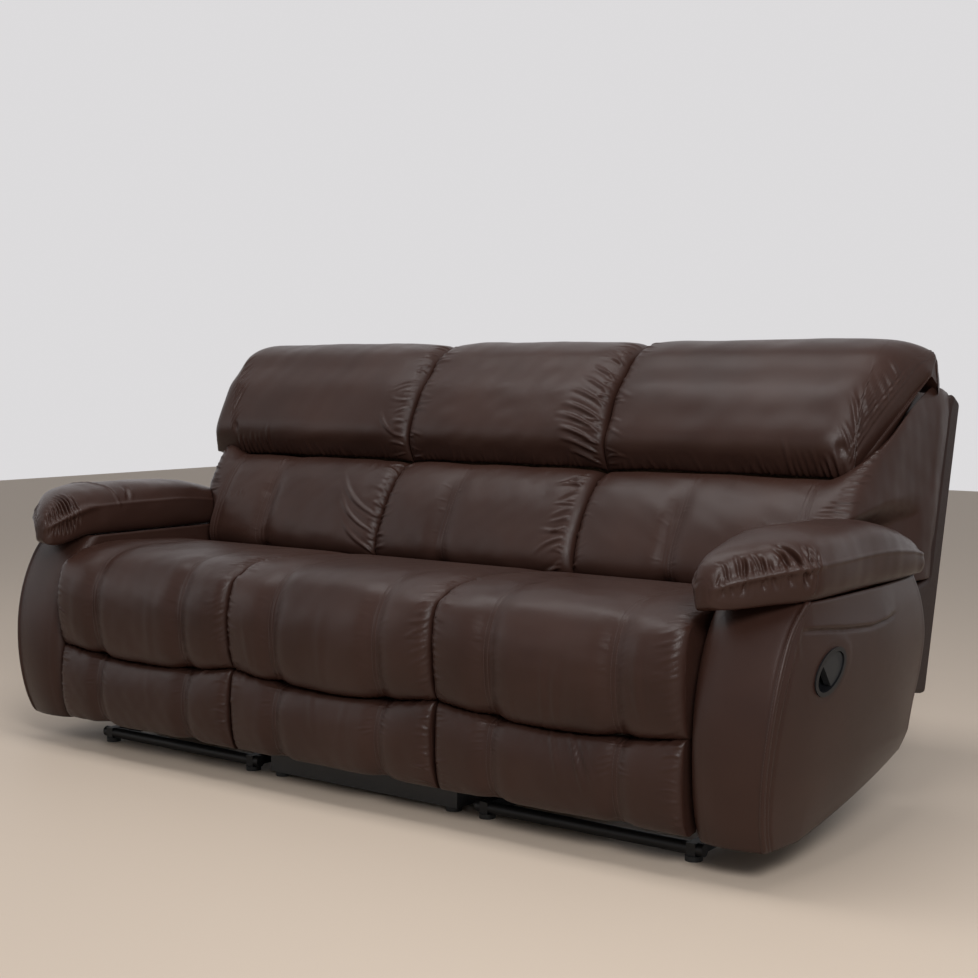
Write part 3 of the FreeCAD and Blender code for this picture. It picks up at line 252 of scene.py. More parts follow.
def hide_group():
    """Colour, roughness and grain height of dyed, pressed leather."""
    group, inside, outside = new_group(
        "leather_grain",
        [("Light", "NodeSocketColor", LEATHER_BROWN), ("Deep", "NodeSocketColor", LEATHER_DEEP),
         ("Grain size", "NodeSocketFloat", 620.0), ("Roughness", "NodeSocketFloat", 0.36)],
        [("Color", "NodeSocketColor"), ("Roughness", "NodeSocketFloat"), ("Height", "NodeSocketFloat")])
    n, link = group.nodes, group.links
    where = n.new("ShaderNodeTexCoord")
    cells = place(n, "ShaderNodeTexVoronoi", feature="DISTANCE_TO_EDGE")
    pebble = n.new("ShaderNodeMapRange")
    pebble.inputs["From Max"].default_value = 0.22
    wander = n.new("ShaderNodeTexNoise")
    wander.inputs["Scale"].default_value = 140.0
    wander.inputs["Detail"].default_value = 6.0
    cloud = n.new("ShaderNodeTexNoise")
    cloud.inputs["Scale"].default_value = 5.0
    cloud.inputs["Detail"].default_value = 4.0
    mix = place(n, "ShaderNodeMix", data_type="RGBA")
    spread = n.new("ShaderNodeMapRange")
    spread.inputs["From Min"].default_value = 0.3
    spread.inputs["From Max"].default_value = 0.7
    spread.inputs["To Min"].default_value = 0.75
    spread.inputs["To Max"].default_value = 0.0
    change = place(n, "ShaderNodeMath", operation="MULTIPLY_ADD")
    change.inputs[1].default_value = 0.12
    offset = place(n, "ShaderNodeMath", operation="SUBTRACT")
    offset.inputs[1].default_value = 0.06
    high = place(n, "ShaderNodeMath", operation="MULTIPLY_ADD")
    high.inputs[1].default_value = 0.6
    link.new(where.outputs["Object"], cells.inputs["Vector"])
    link.new(inside.outputs["Grain size"], cells.inputs["Scale"])
    link.new(where.outputs["Object"], wander.inputs["Vector"])
    link.new(where.outputs["Object"], cloud.inputs["Vector"])
    link.new(cells.outputs["Distance"], pebble.inputs["Value"])
    link.new(cloud.outputs["Fac"], spread.inputs["Value"])
    link.new(spread.outputs["Result"], mix.inputs[0])
    link.new(inside.outputs["Light"], mix.inputs[6])
    link.new(inside.outputs["Deep"], mix.inputs[7])
    link.new(wander.outputs["Fac"], change.inputs[0])
    link.new(inside.outputs["Roughness"], offset.inputs[0])
    link.new(offset.outputs[0], change.inputs[2])
    link.new(wander.outputs["Fac"], high.inputs[0])
    link.new(pebble.outputs["Result"], high.inputs[2])
    link.new(mix.outputs[2], outside.inputs["Color"])
    link.new(change.outputs[0], outside.inputs["Roughness"])
    link.new(high.outputs[0], outside.inputs["Height"])
    return group


HIDE = hide_group()


def leather(name, light, deep, roughness, bump_strength):
    """One leather in two tones, with the shared grain."""
    material = bpy.data.materials.new(name)
    material.use_nodes = True
    n, link = material.node_tree.nodes, material.node_tree.links
    shader = n["Principled BSDF"]
    shader.inputs["Specular IOR Level"].default_value = LEATHER_SHINE
    hide = place(n, "ShaderNodeGroup", node_tree=HIDE)
    hide.inputs["Light"].default_value = light
    hide.inputs["Deep"].default_value = deep
    hide.inputs["Roughness"].default_value = roughness
    bump = n.new("ShaderNodeBump")
    bump.inputs["Strength"].default_value = bump_strength
    bump.inputs["Distance"].default_value = 0.00025
    link.new(hide.outputs["Color"], shader.inputs["Base Color"])
    link.new(hide.outputs["Roughness"], shader.inputs["Roughness"])
    link.new(hide.outputs["Height"], bump.inputs["Height"])
    link.new(bump.outputs["Normal"], shader.inputs["Normal"])
    return material


brown_leather = leather("brown_leather", LEATHER_BROWN, LEATHER_DEEP, 0.31, 0.35)
# The outside backs' leather: rougher, and painted darker as painted shade.
back_leather = leather("back_leather", SHADED_BACK_BROWN, SHADED_BACK_DEEP, 0.50, 0.4)

# Sewing thread is bonded polyester a shade lighter than the leather.
thread = bpy.data.materials.new("sewing_thread")
thread.use_nodes = True
THREAD_BROWN = (0.060, 0.028, 0.022, 1.0)


def finish_thread():
    """Twist of the thread, as fine bands."""
    n, link = thread.node_tree.nodes, thread.node_tree.links
    shader = n["Principled BSDF"]
    shader.inputs["Roughness"].default_value = 0.5
    where = n.new("ShaderNodeTexCoord")
    twist = n.new("ShaderNodeTexWave")
    twist.inputs["Scale"].default_value = 700.0
    mix = place(n, "ShaderNodeMix", data_type="RGBA")
    mix.inputs[6].default_value = THREAD_BROWN
    mix.inputs[7].default_value = LEATHER_BROWN
    link.new(where.outputs["Object"], twist.inputs["Vector"])
    link.new(twist.outputs["Fac"], mix.inputs[0])
    link.new(mix.outputs[2], shader.inputs["Base Color"])


finish_thread()

# Seat cushions. Each is moulded foam wrapped in fibre and leather, with a roll down its front
# that meets the footrest in a sagging crease, and two double-stitched channels from front to back.
SEAT_PITCH = 0.580
SEAT_HALF = 0.288
CREASE_Y = -0.4675          # the crease between the front rolls and the footrests
CREASE_Z = 0.2563
CREASE_DIP = 0.022
SEAT_TOP = 0.497
SEAT_BASE = 0.390
SEAT_REAR = 0.506
CHANNEL_AT = 0.146
SEAT_ROWS = 200
HIDDEN_ROWS = 16
MIDDLES = {"left": -SEAT_PITCH, "centre": 0.0, "right": SEAT_PITCH}
MIRRORS = {"left": -1.0, "centre": 1.0, "right": 1.0}
SEEDS = {"left": 11, "centre": 23, "right": 37}     # each kind of piece adds its own hundred
STITCH_APART = 0.0048       # from the middle of a seam to each of its two rows of stitches


def body_of(end, part):
    """The body that a piece rides on: nothing moves on the middle seat."""
    return "root" if end == "centre" else end + "_" + part


def evenly(line, count):
    """The same line as evenly spaced points."""
    length = np.concatenate([[0.0], np.cumsum(np.linalg.norm(np.diff(line, axis=0), axis=1))])
    wanted = np.linspace(0.0, length[-1], count)
    return np.stack([np.interp(wanted, length, line[:, k]) for k in range(line.shape[1])], axis=1)


def smooth_line(points, count):
    """A smooth curve through a few points, as evenly spaced points."""
    points = np.array(points, float)
    padded = np.vstack([2 * points[0] - points[1], points, 2 * points[-1] - points[-2]])
    pieces = []
    for a, b, c, d in zip(padded, padded[1:], padded[2:], padded[3:]):
        t = np.linspace(0.0, 1.0, 24, endpoint=False)[:, None]
        pieces.append(b + 0.5 * t * (c - a + t * (2 * a - 5 * b + 4 * c - d + t * (3 * (b - c) + d - a))))
    return evenly(np.vstack(pieces + [points[-1:]]), count)


def straight_line(points, count):
    """Evenly spaced points along straight runs, without the first and the last."""
    return evenly(np.array(points, float), count + 2)[1:-1]


def spread(start, end, marks, fine=0.0016, coarse=0.0060, reach=0.030):
    """Places from start to end that lie closer together beside the marks."""
    places = [start]
    while places[-1] < end:
        near = min([abs(places[-1] - mark) for mark in marks] or [reach])
        places.append(places[-1] + fine + (coarse - fine) * min(1.0, near / reach))
    stretched = np.array(places)
    return start + (stretched - start) * (end - start) / (stretched[-1] - start)


def grid_normals(grid):
    """Outward normals of rings of points, where the rings run round and close."""
    along = np.gradient(grid, axis=0)
    around = np.roll(grid, -1, axis=1) - np.roll(grid, 1, axis=1)
    normal = np.cross(along, around)
    return normal / np.maximum(np.linalg.norm(normal, axis=2, keepdims=True), 1e-9)


def bell(value, width):
    """One at zero, and fading to nothing beyond the width."""
    return np.exp(-(value / width) ** 2)


def ripple(grid, wavelength, seed):
    """A soft irregular field between about -1 and 1."""
    draw = np.random.RandomState(seed)
    field = np.zeros(grid.shape[:-1])
    for _ in range(9):
        way = draw.normal(size=3)
        way *= 2 * math.pi / (wavelength * draw.uniform(0.7, 1.6)) / np.linalg.norm(way)
        field += np.sin(grid @ way + draw.uniform(0.0, 6.3))
    return field / 3.0


def fold(u, v, start, end, width, height, bend=0.0, fade=0.5):
    """A wrinkle from start to end on a surface with coordinates u and v: a ridge between two
    hollows. It is strongest near its start if fade is small, and in the middle if fade is 0.5."""
    du, dv = end[0] - start[0], end[1] - start[1]
    length = math.hypot(du, dv)
    along = ((u - start[0]) * du + (v - start[1]) * dv) / length ** 2
    aside = ((u - start[0]) * dv - (v - start[1]) * du) / length
    aside = aside - bend * length * 4 * along * (1 - along)
    inside = np.clip(along, 0.0, 1.0)
    power = math.log(0.5) / math.log(fade)
    taper = np.sin(math.pi * inside ** power) ** 1.2
    q = aside / (width * (0.75 + 0.5 * inside))
    return height * taper * (1 - 1.6 * q * q) * np.exp(-q * q)


def gathers(u, v, line, away, count, length, width, height, seed, slant=0.0):
    """Small wrinkles that run away from a seam, from one end of the line to the other."""
    draw = np.random.RandomState(seed + 100)
    total = np.zeros(np.broadcast(u, v).shape)
    (u0, v0), (u1, v1) = line
    for number in range(count):
        share = (number + draw.uniform(0.1, 0.9)) / count
        su, sv = u0 + share * (u1 - u0), v0 + share * (v1 - v0)
        long = length * draw.uniform(0.45, 1.3)
        lean = slant + draw.uniform(-0.35, 0.35)
        eu = su + long * (away[0] + lean * (u1 - u0) / max(math.hypot(u1 - u0, v1 - v0), 1e-6))
        ev = sv + long * (away[1] + lean * (v1 - v0) / max(math.hypot(u1 - u0, v1 - v0), 1e-6))
        total += fold(u, v, (su, sv), (eu, ev), width * draw.uniform(0.7, 1.4),
                      height * draw.uniform(0.4, 1.2), draw.uniform(-0.12, 0.12), 0.28)
    return total


def seam_line(offset, reach, depth):
    """Profile across a double-stitched seam: a broad hollow, a raised band and two stitched grooves."""
    past_edge = np.minimum((np.abs(offset) - 0.0066) / 0.0008, 60.0)
    band = 0.0020 * (1 / (1 + np.exp(past_edge)))
    grooves = -0.0024 * (bell(offset - STITCH_APART, 0.0014) + bell(offset + STITCH_APART, 0.0014))
    middle = -0.0014 * bell(offset, 0.0014)
    return -depth * bell(offset, reach) + band + grooves + middle


def add_piece(name, mesh, material, body):
    """Puts a mesh in the scene, on one of the construction's bodies."""
    mesh.materials.append(material)
    piece = bpy.data.objects.new(name, mesh)
    bpy.context.scene.collection.objects.link(piece)
    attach(piece, body)
    return piece


def skin(name, grid, body, smooth_ends=False):
    """A closed leather mesh through rings of points, with a face at each end."""
    columns, rows = grid.shape[:2]
    index = np.arange(columns * rows).reshape(columns, rows)
    a = index[:-1]
    b = index[1:]
    quads = np.stack([a, b, np.roll(b, -1, axis=1), np.roll(a, -1, axis=1)], axis=2).reshape(-1, 4)
    faces = quads.tolist() + [index[0].tolist(), index[-1][::-1].tolist()]
    mesh = bpy.data.meshes.new(name)
    mesh.from_pydata(grid.reshape(-1, 3).tolist(), [], faces)
    mesh.validate()
    mesh.update()
    smooth = [True] * (len(faces) - 2) + [smooth_ends] * 2
    mesh.polygons.foreach_set("use_smooth", smooth)
    return add_piece(name, mesh, brown_leather, body)


def edge_round(places, start, end, reach, drop, soft_reach, soft_drop):
    """How far a cushion is drawn in towards its ends: a tight round edge and a broad soft one."""
    from_edge = np.minimum(places - start, end - places)
    tight = np.clip(1 - from_edge / reach, 0.0, 1.0)
    broad = np.clip(1 - from_edge / soft_reach, 0.0, 1.0)
    return drop * (1 - np.sqrt(1 - tight ** 2 * 0.985)) + soft_drop * broad ** 2


def stitch_rows(name, lines, body, pitch=0.0062, long=0.0040, thick=0.0011):
    """Threads of lockstitch laid along lines of (points, normals), as one piece."""
    verts, faces = [], []
    shape = [(-0.5, 0.35), (-0.25, 0.9), (0.25, 0.9), (0.5, 0.35)]
    for points, normals in lines:
        length = np.concatenate([[0.0], np.cumsum(np.linalg.norm(np.diff(points, axis=0), axis=1))])
        for distance in np.arange(pitch / 2, length[-1] - pitch / 2, pitch):
            middle = np.array([np.interp(distance, length, points[:, k]) for k in range(3)])
            ahead = np.array([np.interp(distance + long / 2, length, points[:, k]) for k in range(3)])
            up = np.array([np.interp(distance, length, normals[:, k]) for k in range(3)])
            way = ahead - middle
            way /= max(np.linalg.norm(way), 1e-9)
            side = np.cross(up, way)
            first = len(verts)
            for share, fat in shape:
                for turn in range(6):
                    angle = turn * math.pi / 3
                    verts.append(middle + way * share * long
                                 + up * (0.0002 + math.sin(angle) * fat * thick / 2)
                                 + side * math.cos(angle) * fat * thick / 2)
            for ring in range(3):
                for turn in range(6):
                    after = (turn + 1) % 6
                    a = first + ring * 6
                    faces.append((a + turn, a + after, a + 6 + after, a + 6 + turn))
            faces.append(tuple(first + k for k in reversed(range(6))))
            faces.append(tuple(first + 18 + k for k in range(6)))
    mesh = bpy.data.meshes.new(name)
    mesh.from_pydata([tuple(v) for v in verts], [], faces)
    mesh.polygons.foreach_set("use_smooth", [True] * len(faces))
    piece = add_piece(name, mesh, thread, body)


def run_length(grid):
    """Distance along each ring from its first point."""
    steps = np.linalg.norm(np.diff(grid, axis=1), axis=2)
    return np.concatenate([np.zeros((grid.shape[0], 1)), np.cumsum(steps, axis=1)], axis=1)


def seam_threads(grid, normals, columns, first, last):
    """The lines that two rows of stitches follow beside seams that run round at these columns."""
    return [(grid[column, first:last], normals[column, first:last]) for column in columns]


def seat_grid(x_places, middle):
    """The rings of points round one seat cushion."""
    draws = edge_round(x_places, -SEAT_HALF, SEAT_HALF, 0.026, 0.021, 0.085, 0.011)
    rings = []
    for x, draw in zip(x_places, draws):
        foot = CREASE_Z - CREASE_DIP * max(0.0, 1 - (x / SEAT_HALF) ** 2)
        top_draw = 0.55 * draw
        front = smooth_line([
            (0.046, foot - 0.001),
            (0.008 + 0.2 * draw, foot - 0.001),
            (-0.015 + 0.6 * draw, foot + 0.013),
            (-0.029 + 0.9 * draw, foot + 0.050),
            (-0.035 + draw, foot + 0.110),
            (-0.030 + draw, foot + 0.160),
            (-0.014 + 0.9 * draw, foot + 0.198 - 0.2 * top_draw),
            (0.016 + 0.6 * draw, SEAT_TOP - 0.026 - 0.6 * top_draw),
            (0.062, SEAT_TOP - 0.008 - 0.9 * top_draw),
            (0.140, SEAT_TOP - 0.001 - top_draw),
            (0.260, SEAT_TOP - 0.004 - top_draw),
            (0.370, SEAT_TOP - 0.015 - 0.8 * top_draw),
            (0.446, SEAT_TOP - 0.031 - 0.5 * top_draw),
            (SEAT_REAR, 0.431),
        ], SEAT_ROWS)
        back = straight_line([(SEAT_REAR, 0.431), (SEAT_REAR, SEAT_BASE), (0.062, SEAT_BASE),
                              (0.062, foot + 0.004), (0.046, foot - 0.001)], HIDDEN_ROWS)
        ring = np.vstack([front, back])
        rings.append(np.column_stack([np.full(len(ring), middle + x), ring[:, 0] + CREASE_Y, ring[:, 1]]))
    return np.array(rings)


def seat_cushion(end, extra_folds):
    """One seat cushion with its channels, folds and stitching."""
    middle = MIDDLES[end]
    body = body_of(end, "seat")
    x = spread(-SEAT_HALF, SEAT_HALF, (-SEAT_HALF, -CHANNEL_AT, CHANNEL_AT, SEAT_HALF))
    grid = seat_grid(x, middle)
    normals = grid_normals(grid)
    s = run_length(grid)
    u = np.broadcast_to(x[:, None], s.shape)
    shown = np.clip(s / 0.012, 0, 1) * np.clip((0.66 - s) / 0.05, 0, 1)
    seed = SEEDS[end]
    move = np.zeros(s.shape)
    for side in (-CHANNEL_AT, CHANNEL_AT):
        wander = 0.0012 * np.sin(s * 23 + seed + side * 9)
        strength = np.clip((s - 0.008) / 0.050, 0, 1) * (0.35 + 0.65 * np.clip((0.36 - s) / 0.12, 0, 1))
        move += seam_line(u - side - wander, 0.028, 0.0140) * strength
        for way in (-1, 1):
            beside = side + 0.010 * way
            move += gathers(u, s, ((beside, 0.05), (beside, 0.27)), (way, 0.0), 10,
                            0.034, 0.0034, 0.0013, seed + way * 3 + int(side * 100), 0.3)
    for way in (-1, 1):
        edge = way * (SEAT_HALF - 0.006)
        move += gathers(u, s, ((edge, 0.02), (edge, 0.40)), (-way, 0.0), 24,
                        0.042, 0.0040, 0.0026, seed + way)
    move += gathers(u, s, ((-0.27, 0.002), (0.27, 0.002)), (0.0, 1.0), 26, 0.050, 0.0044, 0.0022, seed + 5)
    move += extra_folds(u, s)
    move += 0.0011 * ripple(grid, 0.16, seed) + 0.00035 * ripple(grid, 0.045, seed + 1)
    grid = grid + normals * (move * shown)[..., None]
    piece = skin(end + "_seat_leather", grid, body)
    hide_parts(end + "_seat_cushion")
    final = grid_normals(grid)
    columns = [int(np.argmin(np.abs(x - side - shift)))
               for side in (-CHANNEL_AT, CHANNEL_AT) for shift in (-STITCH_APART, STITCH_APART)]
    stitch_rows(end + "_seat_stitching", seam_threads(grid, final, columns, 5, 134), body)


def left_seat_folds(u, s):
    """Two soft creases on the left seat."""
    return (fold(u, s, (0.05, 0.06), (0.055, 0.30), 0.016, 0.0009)
            + fold(u, s, (-0.22, 0.05), (-0.20, 0.25), 0.02, 0.001))


def centre_seat_folds(u, s):
    """Two soft creases on the middle seat."""
    return (fold(u, s, (0.0, 0.05), (0.008, 0.27), 0.014, 0.0009)
            + fold(u, s, (-0.215, 0.02), (-0.225, 0.22), 0.012, 0.0012, 0.05))


def right_seat_folds(u, s):
    """Soft upright creases in the middle of the right seat's front."""
    return (fold(u, s, (-0.018, 0.03), (-0.006, 0.22), 0.008, 0.0018, 0.03)
            + fold(u, s, (0.020, 0.03), (0.030, 0.20), 0.009, 0.0020, -0.03)
            + fold(u, s, (0.055, 0.06), (0.065, 0.24), 0.012, 0.0008)
            + fold(u, s, (-0.10, 0.01), (-0.085, 0.14), 0.008, 0.0010, 0.06)
            + fold(u, s, (0.215, 0.06), (0.205, 0.27), 0.014, 0.0026, -0.04))


for end, folds in zip(ENDS, (left_seat_folds, centre_seat_folds, right_seat_folds)):
    seat_cushion(end, folds)

# Front pads. The end ones are the footrests' padding, stapled round a plywood board, and the
# middle one is a fixed panel made to match. The seats' channels run on down them.
PAD_HALF = 0.285
PAD_BOTTOM = 0.072
PAD_BACK = 0.048
PAD_ROWS = 110


def pad_grid(x_places, middle):
    """The rings of points round one front pad."""
    draws = edge_round(x_places, -PAD_HALF, PAD_HALF, 0.022, 0.016, 0.07, 0.006)
    rings = []
    for x, draw in zip(x_places, draws):
        top = CREASE_Z - CREASE_DIP * max(0.0, 1 - (x / SEAT_HALF) ** 2) - 0.0032
        tall = top - PAD_BOTTOM
        front = smooth_line([
            (0.044, top),
            (0.012 + 0.2 * draw, top),
            (-0.007 + 0.5 * draw, top - 0.005),
            (-0.018 + 0.8 * draw, top - 0.026),
            (-0.0245 + draw, top - 0.36 * tall),
            (-0.0235 + draw, top - 0.62 * tall),
            (-0.014 + 0.8 * draw, top - 0.84 * tall),
            (0.002 + 0.4 * draw, PAD_BOTTOM + 0.006),
            (0.020, PAD_BOTTOM),
            (PAD_BACK - 0.004, PAD_BOTTOM + 0.004),
        ], PAD_ROWS)
        back = straight_line([(PAD_BACK - 0.004, PAD_BOTTOM + 0.004), (PAD_BACK, PAD_BOTTOM + 0.010),
                              (PAD_BACK, top - 0.004), (0.044, top)], HIDDEN_ROWS)
        ring = np.vstack([front, back])
        rings.append(np.column_stack([np.full(len(ring), middle + x), ring[:, 0] + CREASE_Y, ring[:, 1]]))
    return np.array(rings)


def front_pad(end, extra_folds):
    """One front pad with its channels, folds and stitching."""
    middle = MIDDLES[end]
    body = body_of(end, "footrest")
    node = "centre_front_pad" if end == "centre" else end + "_footrest_pad"
    x = spread(-PAD_HALF, PAD_HALF, (-PAD_HALF, -CHANNEL_AT, CHANNEL_AT, PAD_HALF))
    grid = pad_grid(x, middle)[:, ::-1]
    normals = grid_normals(grid)
    s = run_length(grid[:, ::-1])[:, ::-1]
    u = np.broadcast_to(x[:, None], s.shape)
    seed = SEEDS[end] + 100
    shown = np.clip(s / 0.010, 0, 1) * np.clip((0.25 - s) / 0.03, 0, 1)
    move = np.zeros(s.shape)
    for side in (-CHANNEL_AT, CHANNEL_AT):
        wander = 0.0010 * np.sin(s * 25 + seed + side * 9)
        strength = np.clip((s - 0.012) / 0.040, 0, 1)
        move += seam_line(u - side - wander, 0.024, 0.0115) * strength
        for way in (-1, 1):
            beside = side + 0.010 * way
            move += gathers(u, s, ((beside, 0.03), (beside, 0.12)), (way, 0.15), 6,
                            0.030, 0.0034, 0.0014, seed + way * 3 + int(side * 100), 0.3)
    for way in (-1, 1):
        edge = way * (PAD_HALF - 0.004)
        move += gathers(u, s, ((edge, 0.03), (edge, 0.22)), (-way, 0.0), 10,
                        0.034, 0.0042, 0.0020, seed + way)
        move += gathers(u, s, ((edge, 0.020), (edge - way * 0.07, 0.020)), (-way * 0.6, 0.8), 7,
                        0.046, 0.0042, 0.0040, seed + 7 * way + 9)
    move += gathers(u, s, ((-0.26, 0.014), (0.26, 0.014)), (0.0, 1.0), 24, 0.042, 0.0042, 0.0024, seed + 5)
    move += extra_folds(u, s)
    move += 0.0009 * ripple(grid, 0.13, seed) + 0.0003 * ripple(grid, 0.04, seed + 1)
    grid = grid + normals * (move * shown)[..., None]
    piece = skin(end + "_front_pad_leather", grid, body)
    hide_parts(node)
    final = grid_normals(grid)
    columns = [int(np.argmin(np.abs(x - side - shift)))
               for side in (-CHANNEL_AT, CHANNEL_AT) for shift in (-STITCH_APART, STITCH_APART)]
    last = grid.shape[1] - 4
    stitch_rows(end + "_front_pad_stitching", seam_threads(grid, final, columns, last - 90, last), body)


def left_pad_folds(u, s):
    """One soft crease on the left front pad."""
    return fold(u, s, (0.02, 0.03), (0.05, 0.16), 0.012, 0.0010)


def centre_pad_folds(u, s):
    """Two soft creases on the middle front pad."""
    return (fold(u, s, (-0.05, 0.02), (-0.02, 0.14), 0.010, 0.0013)
            + fold(u, s, (0.06, 0.02), (0.05, 0.15), 0.012, 0.0010))


def right_pad_folds(u, s):
    """Slanting creases below the middle of the crease."""
    return (fold(u, s, (-0.020, 0.016), (0.030, 0.150), 0.0064, 0.0040, 0.05, 0.42)
            + fold(u, s, (0.020, 0.016), (0.085, 0.165), 0.0064, 0.0052, 0.06, 0.45)
            + fold(u, s, (0.052, 0.030), (0.110, 0.155), 0.0056, 0.0040, 0.04, 0.5)
            + fold(u, s, (-0.045, 0.016), (-0.030, 0.085), 0.0050, 0.0016, 0.02, 0.4)
            + fold(u, s, (-0.020, 0.014), (-0.018, 0.080), 0.0050, 0.0018, 0.02, 0.4))


for end, folds in zip(ENDS, (left_pad_folds, centre_pad_folds, right_pad_folds)):
    front_pad(end, folds)

# Lower back cushions. Each is a fibre-filled panel with one double-stitched channel. On the end
# backs the same leather runs on round the side bolster behind the arm, past a second double seam.
BACK_Y = -0.0075            # foot of the backs' front face
BACK_Z = 0.464
BACK_LEAN = math.radians(30.0)
CUSHION_BACK = 0.0935       # rear of the back cushions, behind the front face
LUMBAR_LEVELS = 130
SIDE_X = 0.403              # outer face of an end back, from its seat's middle
LUMBAR_CHANNELS = {"left": -0.100, "centre": -0.070, "right": -0.030}
WING_SEAM = 0.262
WING_ROWS = 130
WING_ROUND = 0.014
ARM_SHARE = 0.34            # at this share of its height the bolster clears the arm's pillow
WING_FOOT = 0.472
WING_TOP = 0.884
BEHIND_ARM = 0.152          # how far back the leather dives behind the arm
WING_FULL = {"left": 0.068, "right": 0.0}    # how much further forward a bolster is stuffed
SHELL_TOP = (0.5175, 0.843)
SHELL_FOOT = (0.3525, 0.222)
SHELL_STRIP = 0.0605
SHELL_SIDE = 0.060          # depth of the shell beside the bolster
STRIP_TOP = 0.834
WING_END = 0.272            # the flat front of an end back stops here


def lean(along, back):
    """Depth and height of a point up a back's front face and behind it."""
    return (BACK_Y + along * math.sin(BACK_LEAN) + back * math.cos(BACK_LEAN),
            BACK_Z + along * math.cos(BACK_LEAN) - back * math.sin(BACK_LEAN))


def shell_rear(z):
    """Depth of the shells' sloping rear face at one height."""
    share = (SHELL_TOP[1] - z) / (SHELL_TOP[1] - SHELL_FOOT[1])
    return SHELL_TOP[0] - share * (SHELL_TOP[0] - SHELL_FOOT[0])


def wing_front(z):
    """Depth of the bolster's front edge at its outer side."""
    return float(np.interp(z, (0.472, 0.544, 0.590, 0.639, 0.694, 0.745, 0.809, 0.873, 0.905),
                           (0.3185, 0.3375, 0.3495, 0.3605, 0.3735, 0.3825, 0.3955, 0.4205, 0.4405)))


def lumbar_profile():
    return smooth_line([(0.003, 0.060), (0.003, 0.028), (0.014, 0.000), (0.045, -0.018), (0.100, -0.0265),
                        (0.160, -0.0275), (0.212, -0.020), (0.250, -0.004), (0.270, 0.018), (0.2785, 0.055)],
                       LUMBAR_LEVELS)


def lumbar_ring(end, level, along, back, x_places, draws):
    """One horizontal cut through a lower back, from its inner end to the bolster's rear edge."""
    share = level / (LUMBAR_LEVELS - 1)
    flat = []
    for x, draw in zip(x_places, draws):
        y, z = lean(along, min(back + draw, CUSHION_BACK - 0.010))
        flat.append((x, y, z))
    inner = x_places[0]
    y_rear, z_rear = lean(along, CUSHION_BACK)
    if end == "centre":
        ring = flat + [(x_places[-1], y_rear, z_rear)]
        hidden = straight_line([(x_places[-1], y_rear, z_rear), (inner, y_rear, z_rear)], HIDDEN_ROWS)
        return np.vstack([ring, hidden, [(inner, y_rear, z_rear)]])
    z_side = WING_FOOT + share * (WING_TOP - WING_FOOT)
    start = np.array(flat[-1])
    # Behind the arm the leather dives straight back, and above it the roll runs on before it turns
    over = min(1.0, max(0.0, (share - ARM_SHARE) / 0.14))
    over = over * over * (3 - 2 * over)
    side_y = wing_front(z_side) - WING_FULL[end] * over
    crown = WING_ROUND * max(0.0, (share - 0.86) / 0.14) ** 2
    rise = z_side - start[2]
    deep = side_y - start[1]
    low_path = [(0.2855, start[1] + 0.030, start[2]), (0.2885, BEHIND_ARM, start[2] + 0.28 * rise),
                (0.3450, BEHIND_ARM + 0.40 * (side_y - BEHIND_ARM), start[2] + 0.64 * rise),
                (0.3750, side_y - 0.060, start[2] + 0.85 * rise)]
    high_path = [(0.2960, start[1] + 0.007, start[2] + 0.07 * rise),
                 (0.3250, start[1] + 0.024, start[2] + 0.22 * rise),
                 (0.3560, start[1] + 0.066, start[2] + 0.46 * rise),
                 (0.3790, start[1] + 0.50 * deep, start[2] + 0.76 * rise)]
    path = [(1 - over) * np.array(a) + over * np.array(b) for a, b in zip(low_path, high_path)]
    outer = (SIDE_X - 0.0085 - crown, side_y - 0.026, z_side - 0.03 * rise)
    side = (SIDE_X - 0.0005 - crown, side_y + 0.012, z_side - 0.5 * crown)
    rear_y = shell_rear(min(z_side, STRIP_TOP)) - SHELL_STRIP + max(0.0, z_side - STRIP_TOP) * 0.35
    rear = (SIDE_X - 0.001 - crown, max(rear_y, side_y + 0.020), z_side - 1.2 * crown)
    before = np.array(flat[-3])
    curve = smooth_line([before, start] + path + [outer, side, rear], 150)
    curve = curve[curve[:, 0] > start[0] + 0.0015]
    curve = evenly(curve, WING_ROWS)
    hidden = straight_line([tuple(curve[-1]),
                            (0.2895, curve[-1][1] - 0.002, curve[-1][2]),
                            (0.2885, max(y_rear, start[1] + 0.034), z_rear),
                            (inner, y_rear, z_rear)], HIDDEN_ROWS)
    return np.vstack([flat, curve, hidden, [(inner, y_rear, z_rear)]])


